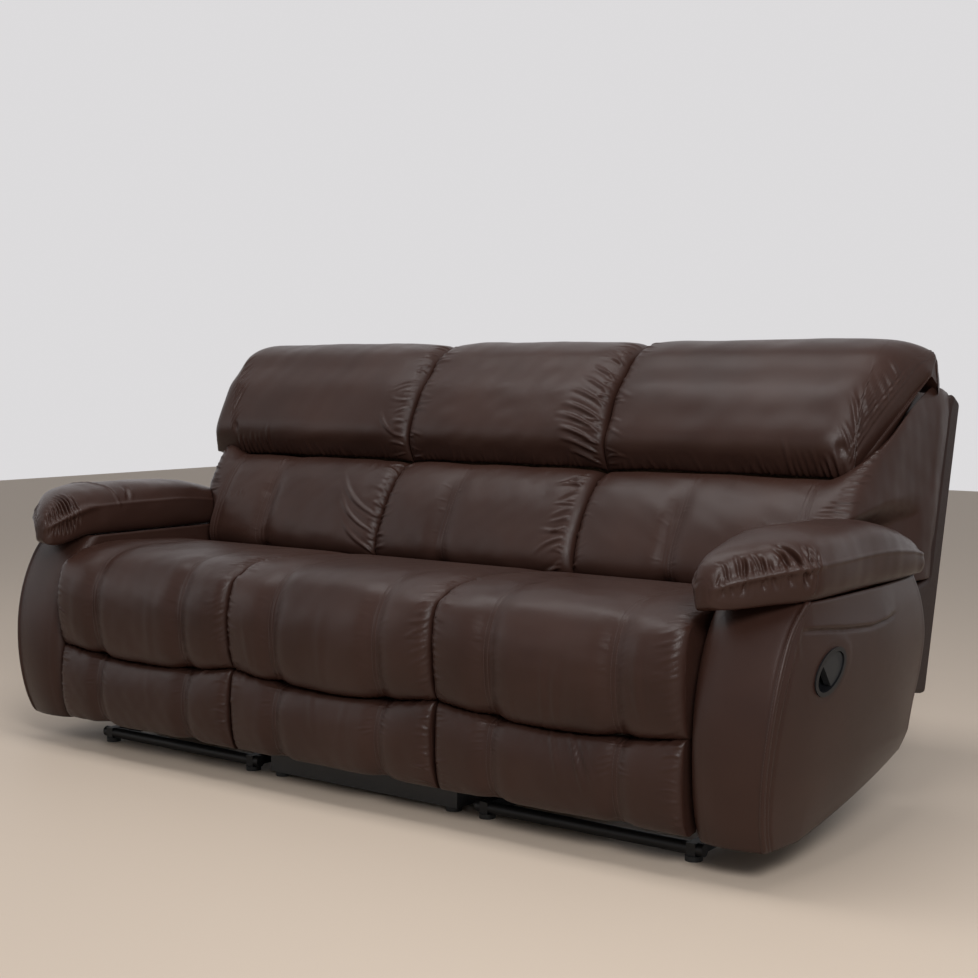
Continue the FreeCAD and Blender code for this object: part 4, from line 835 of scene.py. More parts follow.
def lower_back(end):
    """One lower back cushion, which on the end backs takes in the side bolster."""
    middle = MIDDLES[end]
    body = body_of(end, "back")
    mirror = MIRRORS[end]
    channel = LUMBAR_CHANNELS[end] * mirror
    wing = end != "centre"
    marks = (-SEAT_HALF, channel) + ((WING_SEAM,) if wing else (SEAT_HALF,))
    x = spread(-SEAT_HALF, WING_END if wing else SEAT_HALF, marks, coarse=0.0045)
    far_end = 2.0 if wing else SEAT_HALF
    draws = edge_round(x, -SEAT_HALF, far_end, 0.028, 0.022, 0.085, 0.010)
    profile = lumbar_profile()
    grid = np.array([lumbar_ring(end, i, a, b, x, draws) for i, (a, b) in enumerate(profile)])
    count = len(x)
    path = run_length(grid)
    u = path + x[0]
    v = np.broadcast_to(profile[:, 0][:, None], u.shape)
    seed = SEEDS[end] + 200
    wander = 0.003 * np.sin(v * 14 + seed)
    move = seam_line(u - channel - wander, 0.026, 0.0125) * np.clip((0.245 - v) / 0.10, 0, 1)
    for way in (-1, 1):
        beside = channel + 0.01 * way
        move += gathers(u, v, ((beside, 0.03), (beside, 0.2)), (way, 0.0), 5,
                        0.03, 0.004, 0.0007, seed + way, 0.2)
    inner = -SEAT_HALF + 0.006
    move += gathers(u, v, ((inner, 0.01), (inner, 0.26)), (1.0, 0.12), 12, 0.045, 0.0046, 0.0028, seed + 2)
    if wing:
        move += seam_line(u - WING_SEAM, 0.014, 0.0030) * np.clip((0.265 - v) / 0.03, 0, 1)
        move += wing_folds(u, v, seed)
        move += gathers(u, v, ((WING_SEAM - 0.012, 0.135), (WING_SEAM - 0.075, 0.150)), (0.0, -1.0), 5,
                        0.026, 0.0036, 0.0022, seed + 9)
    else:
        move += gathers(u, v, ((-inner, 0.01), (-inner, 0.26)), (-1.0, -0.35), 17,
                        0.060, 0.0048, 0.0044, seed + 3)
    move += gathers(u, v, ((-0.26, 0.268), (0.26, 0.268)), (0.0, -1.0), 16, 0.040, 0.006, 0.0010, seed + 4)
    if end == "left":
        move += fold(u, v, (-0.277, 0.10), (-0.12, 0.215), 0.008, 0.0040, 0.10, 0.35)
        move += fold(u, v, (-0.277, 0.06), (-0.14, 0.155), 0.007, 0.0036, 0.10, 0.35)
        move += fold(u, v, (-0.277, 0.02), (-0.17, 0.090), 0.007, 0.0032, 0.10, 0.35)
    normals = -grid_normals(grid)
    move += 0.0011 * ripple(grid, 0.15, seed) + 0.00035 * ripple(grid, 0.045, seed + 1)
    last_shown = count + (WING_ROWS if wing else 0)
    shown = np.zeros(move.shape)
    shown[:, :last_shown] = 1.0
    shown[:3] *= 0.3
    grid = grid + normals * (move * shown)[..., None]
    grid[..., 0] = grid[..., 0] * mirror + middle
    normals[..., 0] *= mirror
    if mirror > 0:
        grid = grid[:, ::-1]
        normals = normals[:, ::-1]
    piece = skin(end + "_lower_back_leather", grid, body)
    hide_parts(end + "_lumbar_cushion")
    if wing:
        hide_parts(end + "_back_wing")
    places = x if mirror < 0 else x[::-1]
    offset = 0 if mirror < 0 else grid.shape[1] - count
    lines = []
    for seam, low, high in ((channel, 12, 108),) + (((WING_SEAM, 12, 118),) if wing else ()):
        for shift in (-STITCH_APART, STITCH_APART):
            column = offset + int(np.argmin(np.abs(places - seam - shift)))
            lines.append((grid[low:high, column], normals[low:high, column]))
    stitch_rows(end + "_lower_back_stitching", lines, body)


def wing_folds(u, v, seed):
    """Creases that run out over the bolster from under the pillow's slanting seam."""
    total = np.zeros(u.shape)
    draw = np.random.RandomState(seed)
    for number in range(13):
        height = 0.276 - 0.0105 * number + draw.uniform(-0.002, 0.002)
        start = (0.385 - 0.0085 * number + draw.uniform(-0.006, 0.006), height)
        long = draw.uniform(0.045, 0.095)
        total += fold(u, v, start, (start[0] + long, height - 0.42 * long - draw.uniform(0.0, 0.006)), 0.0030,
                      draw.uniform(0.0016, 0.0040), draw.uniform(-0.05, 0.05), 0.40)
    return total


for end in ENDS:
    lower_back(end)

# Headrest pillows. Each is stuffed with fibre, rolls over the top of the back and is stapled
# behind it. The end ones are cut off aslant and gathered along a seam that climbs to the corner.
HEAD_FOOT = 0.2835
HEAD_TOP = 0.640
HEAD_REAR = 0.186
HEAD_CROWN = 0.046
ROLL_END = 0.568
HEAD_ROWS = 210
HEAD_REACH = {"left": 0.410, "right": 0.396}
# The slanting seam: distance from the seat's middle at its foot, and how full the end above it is
SLANT_FOOT = {"left": 0.402, "right": 0.317}
TURN_FROM = {"left": 0.320, "right": 0.225}    # the end starts to round off here
TURN_POWER = {"left": 4.0, "right": 2.6}
SLANT_LOW = (0.302, 0.030)  # heights and depths of the seam's two ends
SLANT_HIGH = (0.592, 0.107)
HEAD_DRAW = 0.030


def head_profile(draw):
    """Height up the back and depth of one cut through a pillow, from its lower seam over the top."""
    tall = HEAD_TOP - 0.75 * draw - HEAD_FOOT
    front = 0.012 + 0.55 * draw
    crown = draw - HEAD_CROWN
    rear = HEAD_REAR - 0.35 * draw
    top = HEAD_FOOT + tall
    return smooth_line([
        (HEAD_FOOT + 0.004, front + 0.046),
        (HEAD_FOOT, front + 0.028),
        (HEAD_FOOT - 0.002, front + 0.006),
        (HEAD_FOOT + 0.022, crown + 0.42 * (front - crown)),
        (HEAD_FOOT + 0.15 * tall, crown + 0.07 * (front - crown)),
        (HEAD_FOOT + 0.30 * tall, crown - 0.0025),
        (HEAD_FOOT + 0.46 * tall, crown - 0.0035),
        (HEAD_FOOT + 0.62 * tall, crown + 0.010 * (CUSHION_BACK - crown) / 0.14),
        (HEAD_FOOT + 0.77 * tall, crown + 0.16 * (CUSHION_BACK - crown)),
        (HEAD_FOOT + 0.895 * tall, crown + 0.42 * (CUSHION_BACK - crown)),
        (HEAD_FOOT + 0.972 * tall, crown + 0.72 * (CUSHION_BACK - crown)),
        (top, CUSHION_BACK + 0.008),
        (top - 0.035 * tall, 0.45 * rear + 0.55 * CUSHION_BACK),
        (top - 0.11 * tall, 0.86 * rear + 0.14 * CUSHION_BACK),
        (ROLL_END + 0.004, rear),
    ], 3 * HEAD_ROWS)


def slant_at(end, a):
    """Where the slanting seam lies at a height: distance from the seat's middle, and depth."""
    share = np.clip((a - SLANT_LOW[0]) / (SLANT_HIGH[0] - SLANT_LOW[0]), 0.0, 1.0)
    return (SLANT_FOOT[end] + share * (HEAD_REACH[end] - SLANT_FOOT[end]),
            SLANT_LOW[1] + share * (SLANT_HIGH[1] - SLANT_LOW[1]))


def head_line(end, x, draw, slanted):
    """One cut through a pillow, drawn back to the slanting seam at its outer end."""
    line = head_profile(draw)
    if slanted:
        seam_x, seam_b = slant_at(end, line[:, 0])
        turn = np.clip((x - TURN_FROM[end]) / (seam_x - TURN_FROM[end]), 0.0, 1.0)
        away = 1.0 - np.sqrt(np.maximum(0.0, 1.0 - turn ** TURN_POWER[end]))
        line[:, 1] += np.maximum(0.0, seam_b - line[:, 1]) * away
        end_turn = np.clip((x - 0.290) / (HEAD_REACH[end] - 0.290), 0.0, 1.0)
        end_away = 1.0 - np.sqrt(np.maximum(0.0, 1.0 - end_turn ** 2.6))
        line[:, 0] -= HEAD_DRAW * end_away * np.clip((line[:, 0] - 0.50) / 0.10, 0.0, 1.0)
        line[:, 1] -= 0.030 * end_away * np.clip((line[:, 1] - CUSHION_BACK) / 0.06, 0.0, 1.0)
        if x > SLANT_FOOT[end]:
            tip = SLANT_HIGH[0] - HEAD_DRAW + 0.004
            foot = np.interp(x, (SLANT_FOOT[end], HEAD_REACH[end]), (SLANT_LOW[0], tip))
            first = int(np.argmax(line[:, 0] >= foot))
            line = line[first:]
    line = evenly(line, HEAD_ROWS)
    low, deep = line[0]
    rear = line[-1][1]
    inner = max(deep + 0.006, CUSHION_BACK)
    hidden = straight_line([tuple(line[-1]), (ROLL_END, rear - 0.006), (ROLL_END, inner),
                            (min(low + 0.006, ROLL_END - 0.002), inner), (low, deep)], HIDDEN_ROWS)
    return np.vstack([line, hidden])


def head_pillow(end, extra_folds):
    """One headrest pillow, cut aslant on the end backs."""
    middle = MIDDLES[end]
    body = body_of(end, "back")
    mirror = MIRRORS[end]
    slanted = end != "centre"
    reach = HEAD_REACH[end] if slanted else SEAT_HALF
    marks = (-SEAT_HALF, reach) + ((0.27, 0.31, 0.35) if slanted else ())
    x = spread(-SEAT_HALF, reach, marks, coarse=0.0045)
    draws = edge_round(x, -SEAT_HALF, 3.0 if slanted else SEAT_HALF, 0.034, 0.026, 0.11, 0.012)
    lines = np.array([head_line(end, place_x, draw, slanted) for place_x, draw in zip(x, draws)])
    height = lines[..., 0]
    y, z = lean(height, lines[..., 1])
    grid = np.stack([np.broadcast_to(x[:, None], y.shape), y, z], axis=2)
    normals = grid_normals(grid)
    s = run_length(grid)
    u = np.broadcast_to(x[:, None], s.shape)
    seed = SEEDS[end] + 300
    move = np.zeros(s.shape)
    inner = -SEAT_HALF + 0.008
    move += gathers(u, s, ((inner, 0.04), (inner, 0.42)), (1.0, -0.2), 16, 0.055, 0.0050, 0.0028, seed)
    move += gathers(u, s, ((-0.26, 0.022), (0.26, 0.022)), (0.0, 1.0), 26, 0.055, 0.0052, 0.0024, seed + 1)
    if not slanted:
        move += gathers(u, s, ((-inner, 0.03), (-inner, 0.42)), (-1.0, 0.2), 16,
                        0.055, 0.0050, 0.0030, seed + 2)
    move += extra_folds(u, s, height)
    move += 0.0012 * ripple(grid, 0.18, seed) + 0.0004 * ripple(grid, 0.05, seed + 1)
    shown = np.clip((s - 0.012) / 0.012, 0, 1) * np.clip((0.70 - s) / 0.05, 0, 1)
    if slanted:
        seam_x, _ = slant_at(end, height)
        from_seam = seam_x - u
        front_side = (lines[..., 1] < CUSHION_BACK + 0.02) & (height > SLANT_LOW[0])
        shown = np.where(front_side, np.clip(from_seam / 0.006, 0, 1) * np.clip(s / 0.004, 0, 1), shown)
        move += np.where(front_side, seam_line(from_seam - 0.011, 0.010, 0.0012), 0.0)
    grid = grid + normals * (move * shown)[..., None]
    grid[..., 0] = grid[..., 0] * mirror + middle
    if mirror < 0:
        grid = grid[::-1]
    piece = skin(end + "_headrest_leather", grid, body)
    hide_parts(end + "_headrest_cushion")


def centre_head_folds(u, s, height):
    """Deep slanting folds at the right end, where the fibre has slumped."""
    total = np.zeros(u.shape)
    # distance along the pillow, rise, length and height of each
    for low, rise, long, high in (
            (0.05, 0.030, 0.09, 0.0050), (0.075, 0.035, 0.11, 0.0060), (0.10, 0.035, 0.12, 0.0072),
            (0.128, 0.040, 0.13, 0.0072), (0.155, 0.040, 0.12, 0.0064), (0.19, 0.045, 0.11, 0.0056),
            (0.225, 0.045, 0.09, 0.0046), (0.265, 0.04, 0.075, 0.0040), (0.31, 0.04, 0.06, 0.0030)):
        total += fold(u, s, (SEAT_HALF - 0.010, low), (SEAT_HALF - long, low + rise),
                      0.0068, high, 0.06, 0.36)
    return total


def end_head_folds(u, s, height):
    """Gathers that rise from the lower seam and from the slanting one, and a dimple at the corner."""
    total = np.zeros(u.shape)
    # place along the lower seam, length, height and width of each
    for at, long, high, wide in (
            (0.075, 0.045, 0.0022, 0.0045), (0.118, 0.070, 0.0034, 0.005), (0.132, 0.055, 0.0028, 0.004),
            (0.160, 0.060, 0.0026, 0.0045), (0.182, 0.110, 0.0050, 0.0060), (0.198, 0.080, 0.0034, 0.0045),
            (0.212, 0.085, 0.0040, 0.0050), (0.228, 0.080, 0.0040, 0.0048), (0.246, 0.085, 0.0046, 0.0052),
            (0.262, 0.060, 0.0040, 0.0045), (0.276, 0.070, 0.0060, 0.0058), (0.292, 0.075, 0.0066, 0.0058)):
        total += fold(u, s, (at, 0.022), (at - 0.010, 0.022 + long), wide, high, 0.04, 0.36)
    for low, long, high in (
            (0.318, 0.060, 0.0046), (0.336, 0.050, 0.0034), (0.356, 0.100, 0.0066), (0.376, 0.070, 0.0048),
            (0.394, 0.080, 0.0050), (0.414, 0.060, 0.0040), (0.436, 0.055, 0.0034), (0.462, 0.055, 0.0044),
            (0.486, 0.040, 0.0034), (0.512, 0.045, 0.0030)):
        seam_x, _ = slant_at("right", low)
        total += fold(u, height, (seam_x - 0.010, low), (seam_x - 0.036, low + long),
                      0.0046, high, 0.05, 0.34)
    dimple = ((u - 0.297) / 0.008) ** 2 + ((height - 0.325) / 0.012) ** 2
    return total - 0.0075 * np.exp(-dimple)


def left_head_folds(u, s, height):
    """The end headrests' folds made softer, and a crease at the inner end."""
    inner_crease = fold(u, s, (-0.27, 0.10), (-0.20, 0.17), 0.007, 0.003, 0.1, 0.35)
    return end_head_folds(u, s, height) * 0.7 + inner_crease


for end, folds in zip(ENDS, (left_head_folds, centre_head_folds, end_head_folds)):
    head_pillow(end, folds)

# Outside backs. Boards and card covered in plain leather, sewn at the corners. They hook over the
# back frames from behind, and on the end seats they widen to cover the side bolsters.
SHELL_FRONT_TOP = (0.4775, 0.866)
SHELL_TOE = (0.2545, 0.238)     # front lower edge of the shells


def rounded(points, radius, steps=5):
    """A closed outline with its corners rounded off."""
    found = []
    count = len(points)
    for k in range(count):
        here = np.array(points[k], float)
        before = np.array(points[k - 1], float) - here
        after = np.array(points[(k + 1) % count], float) - here
        reach = min(radius, 0.4 * np.linalg.norm(before), 0.4 * np.linalg.norm(after))
        start = here + before / np.linalg.norm(before) * reach
        end = here + after / np.linalg.norm(after) * reach
        for t in np.linspace(0.0, 1.0, steps):
            found.append((1 - t) ** 2 * start + 2 * t * (1 - t) * here + t ** 2 * end)
    return np.array(found)


def filled_out(points, spacing):
    """The same closed outline with points added along its long runs."""
    found = []
    for a, b in zip(points, np.roll(points, -1, axis=0)):
        pieces = max(1, int(np.linalg.norm(b - a) / spacing))
        found += [a + (b - a) * k / pieces for k in range(pieces)]
    return np.array(found)


def shell_grid(profile, x0, x1, seed, seam_from_edge=0.016):
    """Rings of one outside back from its inner to its outer edge, with rounded edges."""
    base = filled_out(rounded(profile, 0.012), 0.016)
    centre = base.mean(axis=0)
    x = spread(x0, x1, (x0, x1), fine=0.0022, coarse=0.014, reach=0.05)
    edge = np.minimum(x - x0, x1 - x)
    draws = 0.012 * (1 - np.sqrt(1 - np.clip(1 - edge / 0.012, 0, 1) ** 2 * 0.98))
    outward = np.roll(base, -1, axis=0) - np.roll(base, 1, axis=0)
    outward = np.stack([outward[:, 1], -outward[:, 0]], axis=1)
    outward /= np.linalg.norm(outward, axis=1, keepdims=True)
    if np.sum(outward * (base - centre)) < 0:
        outward = -outward
    rings = []
    for place_x, draw, near in zip(x, draws, edge):
        groove = 0.0022 * math.exp(-((near - seam_from_edge) / 0.0022) ** 2)
        ring = base - outward * (draw + groove)
        rings.append(np.column_stack([np.full(len(ring), place_x), ring]))
    grid = np.array(rings)
    normal = np.concatenate([np.zeros((len(base), 1)), outward], axis=1)
    soft = np.clip(edge / 0.04, 0, 1)[:, None]
    grid += normal[None] * (0.0010 * ripple(grid, 0.20, seed) * soft)[..., None]
    return grid


def outside_back(end):
    """The leather shell behind one back."""
    body = body_of(end, "back")
    mirror = MIRRORS[end]
    seed = SEEDS[end] + 400
    middle = MIDDLES[end]
    narrow = [lean(0.566, 0.098), lean(0.566, 0.1865), SHELL_TOP, SHELL_FOOT, SHELL_TOE,
              (0.2325, 0.300), (0.1075, 0.400), lean(0.004, 0.098)]
    top_side = shell_rear(STRIP_TOP) - SHELL_SIDE
    foot_side = shell_rear(WING_FOOT) - SHELL_SIDE
    wide = [SHELL_FRONT_TOP, SHELL_TOP, SHELL_FOOT, SHELL_TOE, (SHELL_TOE[0], 0.455),
            (foot_side, WING_FOOT), (top_side, STRIP_TOP)]
    grids = [shell_grid(narrow, -SEAT_HALF, SEAT_HALF, seed)]
    if end != "centre":
        grids.append(shell_grid(wide, SEAT_HALF - 0.006, SIDE_X, seed + 1))
    verts, faces, smooth = [], [], []
    for grid in grids:
        grid = grid.copy()
        grid[..., 0] = grid[..., 0] * mirror + middle
        if mirror > 0:
            grid = grid[::-1]
        columns, rows = grid.shape[:2]
        index = len(verts) + np.arange(columns * rows).reshape(columns, rows)
        a, b = index[:-1], index[1:]
        quads = np.stack([a, b, np.roll(b, -1, axis=1), np.roll(a, -1, axis=1)], axis=2).reshape(-1, 4)
        faces += quads.tolist() + [index[0].tolist(), index[-1][::-1].tolist()]
        smooth += [True] * len(quads) + [False, False]
        verts += grid.reshape(-1, 3).tolist()
    mesh = bpy.data.meshes.new(end + "_outside_back_leather")
    mesh.from_pydata(verts, [], faces)
    mesh.polygons.foreach_set("use_smooth", smooth)
    # The shells wear the leather whose darker colour is painted shade.
    piece = add_piece(end + "_outside_back_leather", mesh, back_leather, body)
    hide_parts(end + "_outside_back")


for end in ENDS:
    outside_back(end)

# Arm bodies. A timber frame is covered in foam and leather. The front and the outer side meet at
# a topstitched welt that bows back towards the foot, and the side panel is pleated under the pillow.
ARM_IN = 0.875              # inner face of the arm, from the sofa's middle
ARM_LEVELS = (
    # height, front edge, rear edge, width at the front, width at the rear, bulge of the side
    (0.040, 0.036, 0.606, 0.138, 0.142, 0.010),
    (0.110, 0.006, 0.590, 0.145, 0.158, 0.019),
    (0.180, -0.007, 0.577, 0.152, 0.173, 0.024),
    (0.250, -0.0085, 0.582, 0.159, 0.182, 0.026),
    (0.320, 0.000, 0.608, 0.165, 0.186, 0.026),
    (0.390, 0.020, 0.629, 0.169, 0.186, 0.024),
    (0.455, 0.053, 0.626, 0.172, 0.179, 0.021),
    (0.508, 0.100, 0.600, 0.179, 0.171, 0.014),
)
ARM_SHAPE = smooth_line(ARM_LEVELS, 120)
ARM_TOP = 0.508
ARM_FOOT = 0.066
ARM_FOOT_REAR = 0.150
SPLIT = 0.200               # above this height the rings are level
CUP_MIDDLE = (0.168, 0.376)
CUP_OUT = 0.192
CUP_TURN = math.radians(6.3)
CUP_TILT = math.radians(33.0)
CUP_HALF = (0.050, 0.029)
WELT = 0.0046
PLEAT = np.array([(0.080, 0.463), (0.160, 0.456), (0.225, 0.449),
                  (0.330, 0.442), (0.400, 0.446), (0.450, 0.454)])
WELT_COLUMN = 24 + 8 + 34 + 4   # the inner face, its turn, the front face and half the corner


def bezier(a, b, c, count):
    """A curve from a to c, drawn towards b."""
    t = np.linspace(0.0, 1.0, count)[:, None]
    a, b, c = np.array(a), np.array(b), np.array(c)
    return (1 - t) ** 2 * a + 2 * t * (1 - t) * b + t ** 2 * c


def arm_outline(z):
    """One level cut through the right arm, from the rear of its inner face round the front."""
    values = [np.interp(z, ARM_SHAPE[:, 0], ARM_SHAPE[:, k]) for k in range(1, 6)]
    front, rear, wide_front, wide_rear, bulge = values
    fx, rx = ARM_IN + wide_front, ARM_IN + wide_rear
    inner = np.linspace((ARM_IN, rear), (ARM_IN, front + 0.030), 24)
    turn = bezier((ARM_IN, front + 0.028), (ARM_IN + 0.001, front - 0.001),
                  (ARM_IN + 0.030, front - 0.006), 8)
    mid_front = ((ARM_IN + fx) / 2, front - 0.017)
    face = bezier((ARM_IN + 0.034, front - 0.0065), mid_front, (fx - 0.007, front - 0.0005), 34)
    corner = bezier((fx - 0.005, front), (fx + 0.0008, front + 0.0008), (fx + 0.0022, front + 0.008), 9)
    middle = ((fx + rx) / 2 + bulge, (front + rear) / 2)
    control = (2 * middle[0] - (fx + rx) / 2, 2 * middle[1] - (front + rear) / 2)
    t = side_shares()
    a, b, c = np.array((fx + 0.0024, front + 0.0100)), np.array(control), np.array((rx, rear - 0.022))
    side = (1 - t) ** 2 * a + 2 * t * (1 - t) * b + t ** 2 * c
    last = bezier((rx, rear - 0.020), (rx, rear), (rx - 0.026, rear), 8)
    behind = np.linspace((rx - 0.030, rear), (ARM_IN + 0.006, rear), 14)
    return np.vstack([inner, turn, face, corner, side, last, behind])


def side_shares():
    """Places along the outer side, closer together round the cup and beside the welt."""
    places = spread(0.0, 0.58, (0.0, 0.012, 0.118, 0.150, 0.185, 0.220),
                    fine=0.0026, coarse=0.0085, reach=0.045)
    return (places / places[-1])[:, None]


def arm_foot(y):
    """Height of the arm's lower edge, which rises towards the rear."""
    return ARM_FOOT + (ARM_FOOT_REAR - ARM_FOOT) * min(1.0, max(0.0, (y - 0.130) / 0.450))


def arm_heights():
    return spread(ARM_FOOT, ARM_TOP, (0.335, 0.360, 0.385, 0.415, 0.445, 0.470),
                  fine=0.0026, coarse=0.0080, reach=0.050)


def cup_place(points):
    """Distances along, across and out of the right arm's cup."""
    out = np.array((math.cos(CUP_TURN), -math.sin(CUP_TURN), 0.0))
    flat = np.array((math.sin(CUP_TURN), math.cos(CUP_TURN), 0.0))
    up = np.array((0.0, 0.0, 1.0))
    along = flat * math.cos(CUP_TILT) + up * math.sin(CUP_TILT)
    across = -flat * math.sin(CUP_TILT) + up * math.cos(CUP_TILT)
    start = points - np.array((ARM_IN + CUP_OUT, CUP_MIDDLE[0], CUP_MIDDLE[1]))
    return start @ along, start @ across, start @ out, out


def arm_cover(side):
    """The leather over one arm body, with its welt, pleat and stitching."""
    mirror = MIRRORS[side]
    heights = arm_heights()
    rings = []
    for level in heights:
        flat = arm_outline(level)
        ring = []
        for x, y in flat:
            foot = arm_foot(y)
            z = level
            if level < SPLIT:
                z = foot + (level - ARM_FOOT) * (SPLIT - foot) / (SPLIT - ARM_FOOT)
            ring.append((x, y, z))
        rings.append(ring)
    grid = np.array(rings)
    normals = -grid_normals(grid)
    path = run_length(grid)
    from_welt = path - path[:, WELT_COLUMN:WELT_COLUMN + 1]
    z = grid[..., 2]
    y = grid[..., 1]
    outer = (from_welt > 0) & (y < 0.59)
    seed = SEEDS[side] + 500
    # The welt: a rounded ridge with a row of topstitching each side of it
    topstitching = bell(from_welt - 0.0075, 0.0016) + bell(from_welt + 0.0085, 0.0016)
    move = 0.0036 * bell(from_welt + 0.001, WELT) - 0.0018 * topstitching
    # A crease that follows it
    crease_at = 0.030 - 0.012 * np.clip((0.42 - z) / 0.30, 0, 1)
    strength = np.clip((0.435 - z) / 0.05, 0, 1)
    move += np.where(outer, 1.0, 0.0) * strength * (-0.0026 * bell(from_welt - crease_at, 0.0036)
                                                    + 0.0020 * bell(from_welt - crease_at + 0.007, 0.0045))
    # The pleat under the pillow
    pleat_z = np.interp(y, PLEAT[:, 0], PLEAT[:, 1])
    inside = np.clip((y - PLEAT[0, 0]) / 0.030, 0, 1) * np.clip((PLEAT[-1, 0] - y) / 0.060, 0, 1)
    drop = z - pleat_z
    above_pleat = 0.0060 / (1 + np.exp(np.minimum(-(drop + 0.0012) / 0.0012, 60.0)))
    above_pleat = above_pleat * np.exp(-np.clip(drop, 0, 1) / 0.030)
    move += np.where(outer, 1.0, 0.0) * inside * (above_pleat - 0.0050 * bell(drop + 0.0035, 0.0036))
    move += 0.0010 * ripple(grid, 0.22, seed) * np.clip(np.abs(from_welt) / 0.02, 0, 1)
    # Two creases run down the outer side from the pillow, beside the welt
    beside_welt = np.where(outer, from_welt, -0.5)
    move += fold(beside_welt, z, (0.010, 0.490), (0.050, 0.400), 0.006, 0.0012, 0.05)
    move += fold(beside_welt, z, (0.020, 0.470), (0.036, 0.360), 0.006, 0.0010, 0.05)
    soft = np.clip((z - grid[0, :, 2][None, :]) / 0.010, 0, 1)
    grid = grid + normals * (move * soft)[..., None]
    # The leather is drawn flat round the cup and turned in under its rim
    along, across, out_by, out = cup_place(grid)
    ring_size = np.sqrt((along / CUP_HALF[0]) ** 2 + (across / CUP_HALF[1]) ** 2)
    near = out_by > -0.06
    level = np.where(ring_size < 1.04, -0.0275, 0.0)
    pull = np.clip((1.75 - ring_size) / 0.45, 0, 1) * near
    change = pull * (level + 0.0002 - 0.0006 * bell(ring_size - 1.3, 0.2) - out_by)
    grid = grid + out * change[..., None]
    # The lower edge turns in under the frame
    under = grid[:1].copy()
    middle = under.mean(axis=1, keepdims=True)
    turned = []
    for share, lift in ((0.10, 0.0005), (0.16, 0.004)):
        lip = under + (middle - under) * np.array((share * 1.4, share * 0.55, 0.0))
        lip[..., 2] = under[..., 2] + lift
        turned.insert(0, lip)
    top = grid[-1:].copy()
    centre = top.mean(axis=1, keepdims=True)
    lids = []
    for share, drop_by in ((0.06, -0.002), (0.14, -0.003)):
        lid = top + (centre - top) * np.array((share * 1.4, share * 0.6, 0.0))
        lid[..., 2] = top[..., 2] + drop_by
        lids.append(lid)
    grid = np.vstack(turned + [grid] + lids)
    grid = grid[:, ::-1]
    grid[..., 0] *= mirror
    grid[..., 1] += CREASE_Y
    if mirror < 0:
        grid = grid[::-1]
    piece = skin(side + "_arm_leather", grid, "root")
    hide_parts(side + "_arm_cover")
    final = grid_normals(grid)
    last = grid.shape[1] - 1
    rows = slice(6, grid.shape[0] - 6)
    lines = []
    for shift in (-3, 3):
        column = last - (WELT_COLUMN + shift)
        lines.append((grid[rows, column], final[rows, column]))
    stitch_rows(side + "_arm_stitching", lines, "root")


for side in SIDES:
    arm_cover(side)

# Arm pillows. Fibre-filled leather cushions sewn along the arm's edges. Their noses droop over the
# front, where the top panel is gathered into the seam that runs round the nose at half height.
PILLOW_MIDDLE = 0.098
PILLOW_STATIONS = (
    # depth, inward shift, half width, lower face and upper face above the arm
    (-0.0290, 0.055, 0.006, 0.012, 0.034),
    (-0.0270, 0.056, 0.015, 0.005, 0.046),
    (-0.0220, 0.055, 0.022, -0.001, 0.058),
    (-0.0120, 0.052, 0.031, -0.006, 0.072),
    (0.0030, 0.045, 0.041, -0.009, 0.085),
    (0.0200, 0.036, 0.054, -0.009, 0.095),
    (0.0400, 0.026, 0.068, -0.007, 0.103),
    (0.0650, 0.013, 0.084, -0.004, 0.111),
    (0.0900, 0.004, 0.096, -0.001, 0.116),
    (0.1150, 0.000, 0.1015, 0.0003, 0.1195),
    (0.1450, 0.000, 0.1045, 0.0003, 0.1225),
    (0.2000, 0.000, 0.1045, 0.0003, 0.1235),
    (0.2600, 0.000, 0.1045, 0.0003, 0.1240),
    (0.3200, 0.000, 0.1045, 0.0003, 0.1240),
    (0.3800, 0.000, 0.1040, 0.0003, 0.1225),
    (0.4400, 0.000, 0.1030, 0.0003, 0.1160),
    (0.4950, 0.000, 0.1010, 0.0003, 0.1060),
    (0.5450, 0.000, 0.0965, 0.0003, 0.0930),
    (0.5820, 0.000, 0.0880, 0.0005, 0.0780),
    (0.6030, 0.000, 0.0660, 0.0050, 0.0560),
    (0.6080, 0.000, 0.0300, 0.0150, 0.0420),
    (0.6090, 0.000, 0.0050, 0.0260, 0.0310),
)
PILLOW_RING = 150
NOSE_HANG = 0.016
SEAM_SHARE = 0.52           # the seam runs at this share of the pillow's height


def pillow_ring(shift, half, low, high):
    """One cut across a pillow, from the middle of its base outwards, over the top and back."""
    tall = high - low
    middle = ARM_IN + PILLOW_MIDDLE - shift
    points = [(0.0, 0.0), (0.70, 0.0), (0.90, 0.06), (0.985, 0.22), (1.0, SEAM_SHARE), (0.955, 0.64),
              (0.80, 0.84), (0.52, 0.955), (0.0, 1.0)]
    points += [(-x, z) for x, z in points[-2::-1]]
    line = smooth_line([(middle + x * half, ARM_TOP + low + z * tall) for x, z in points], PILLOW_RING + 1)
    return line[:-1]


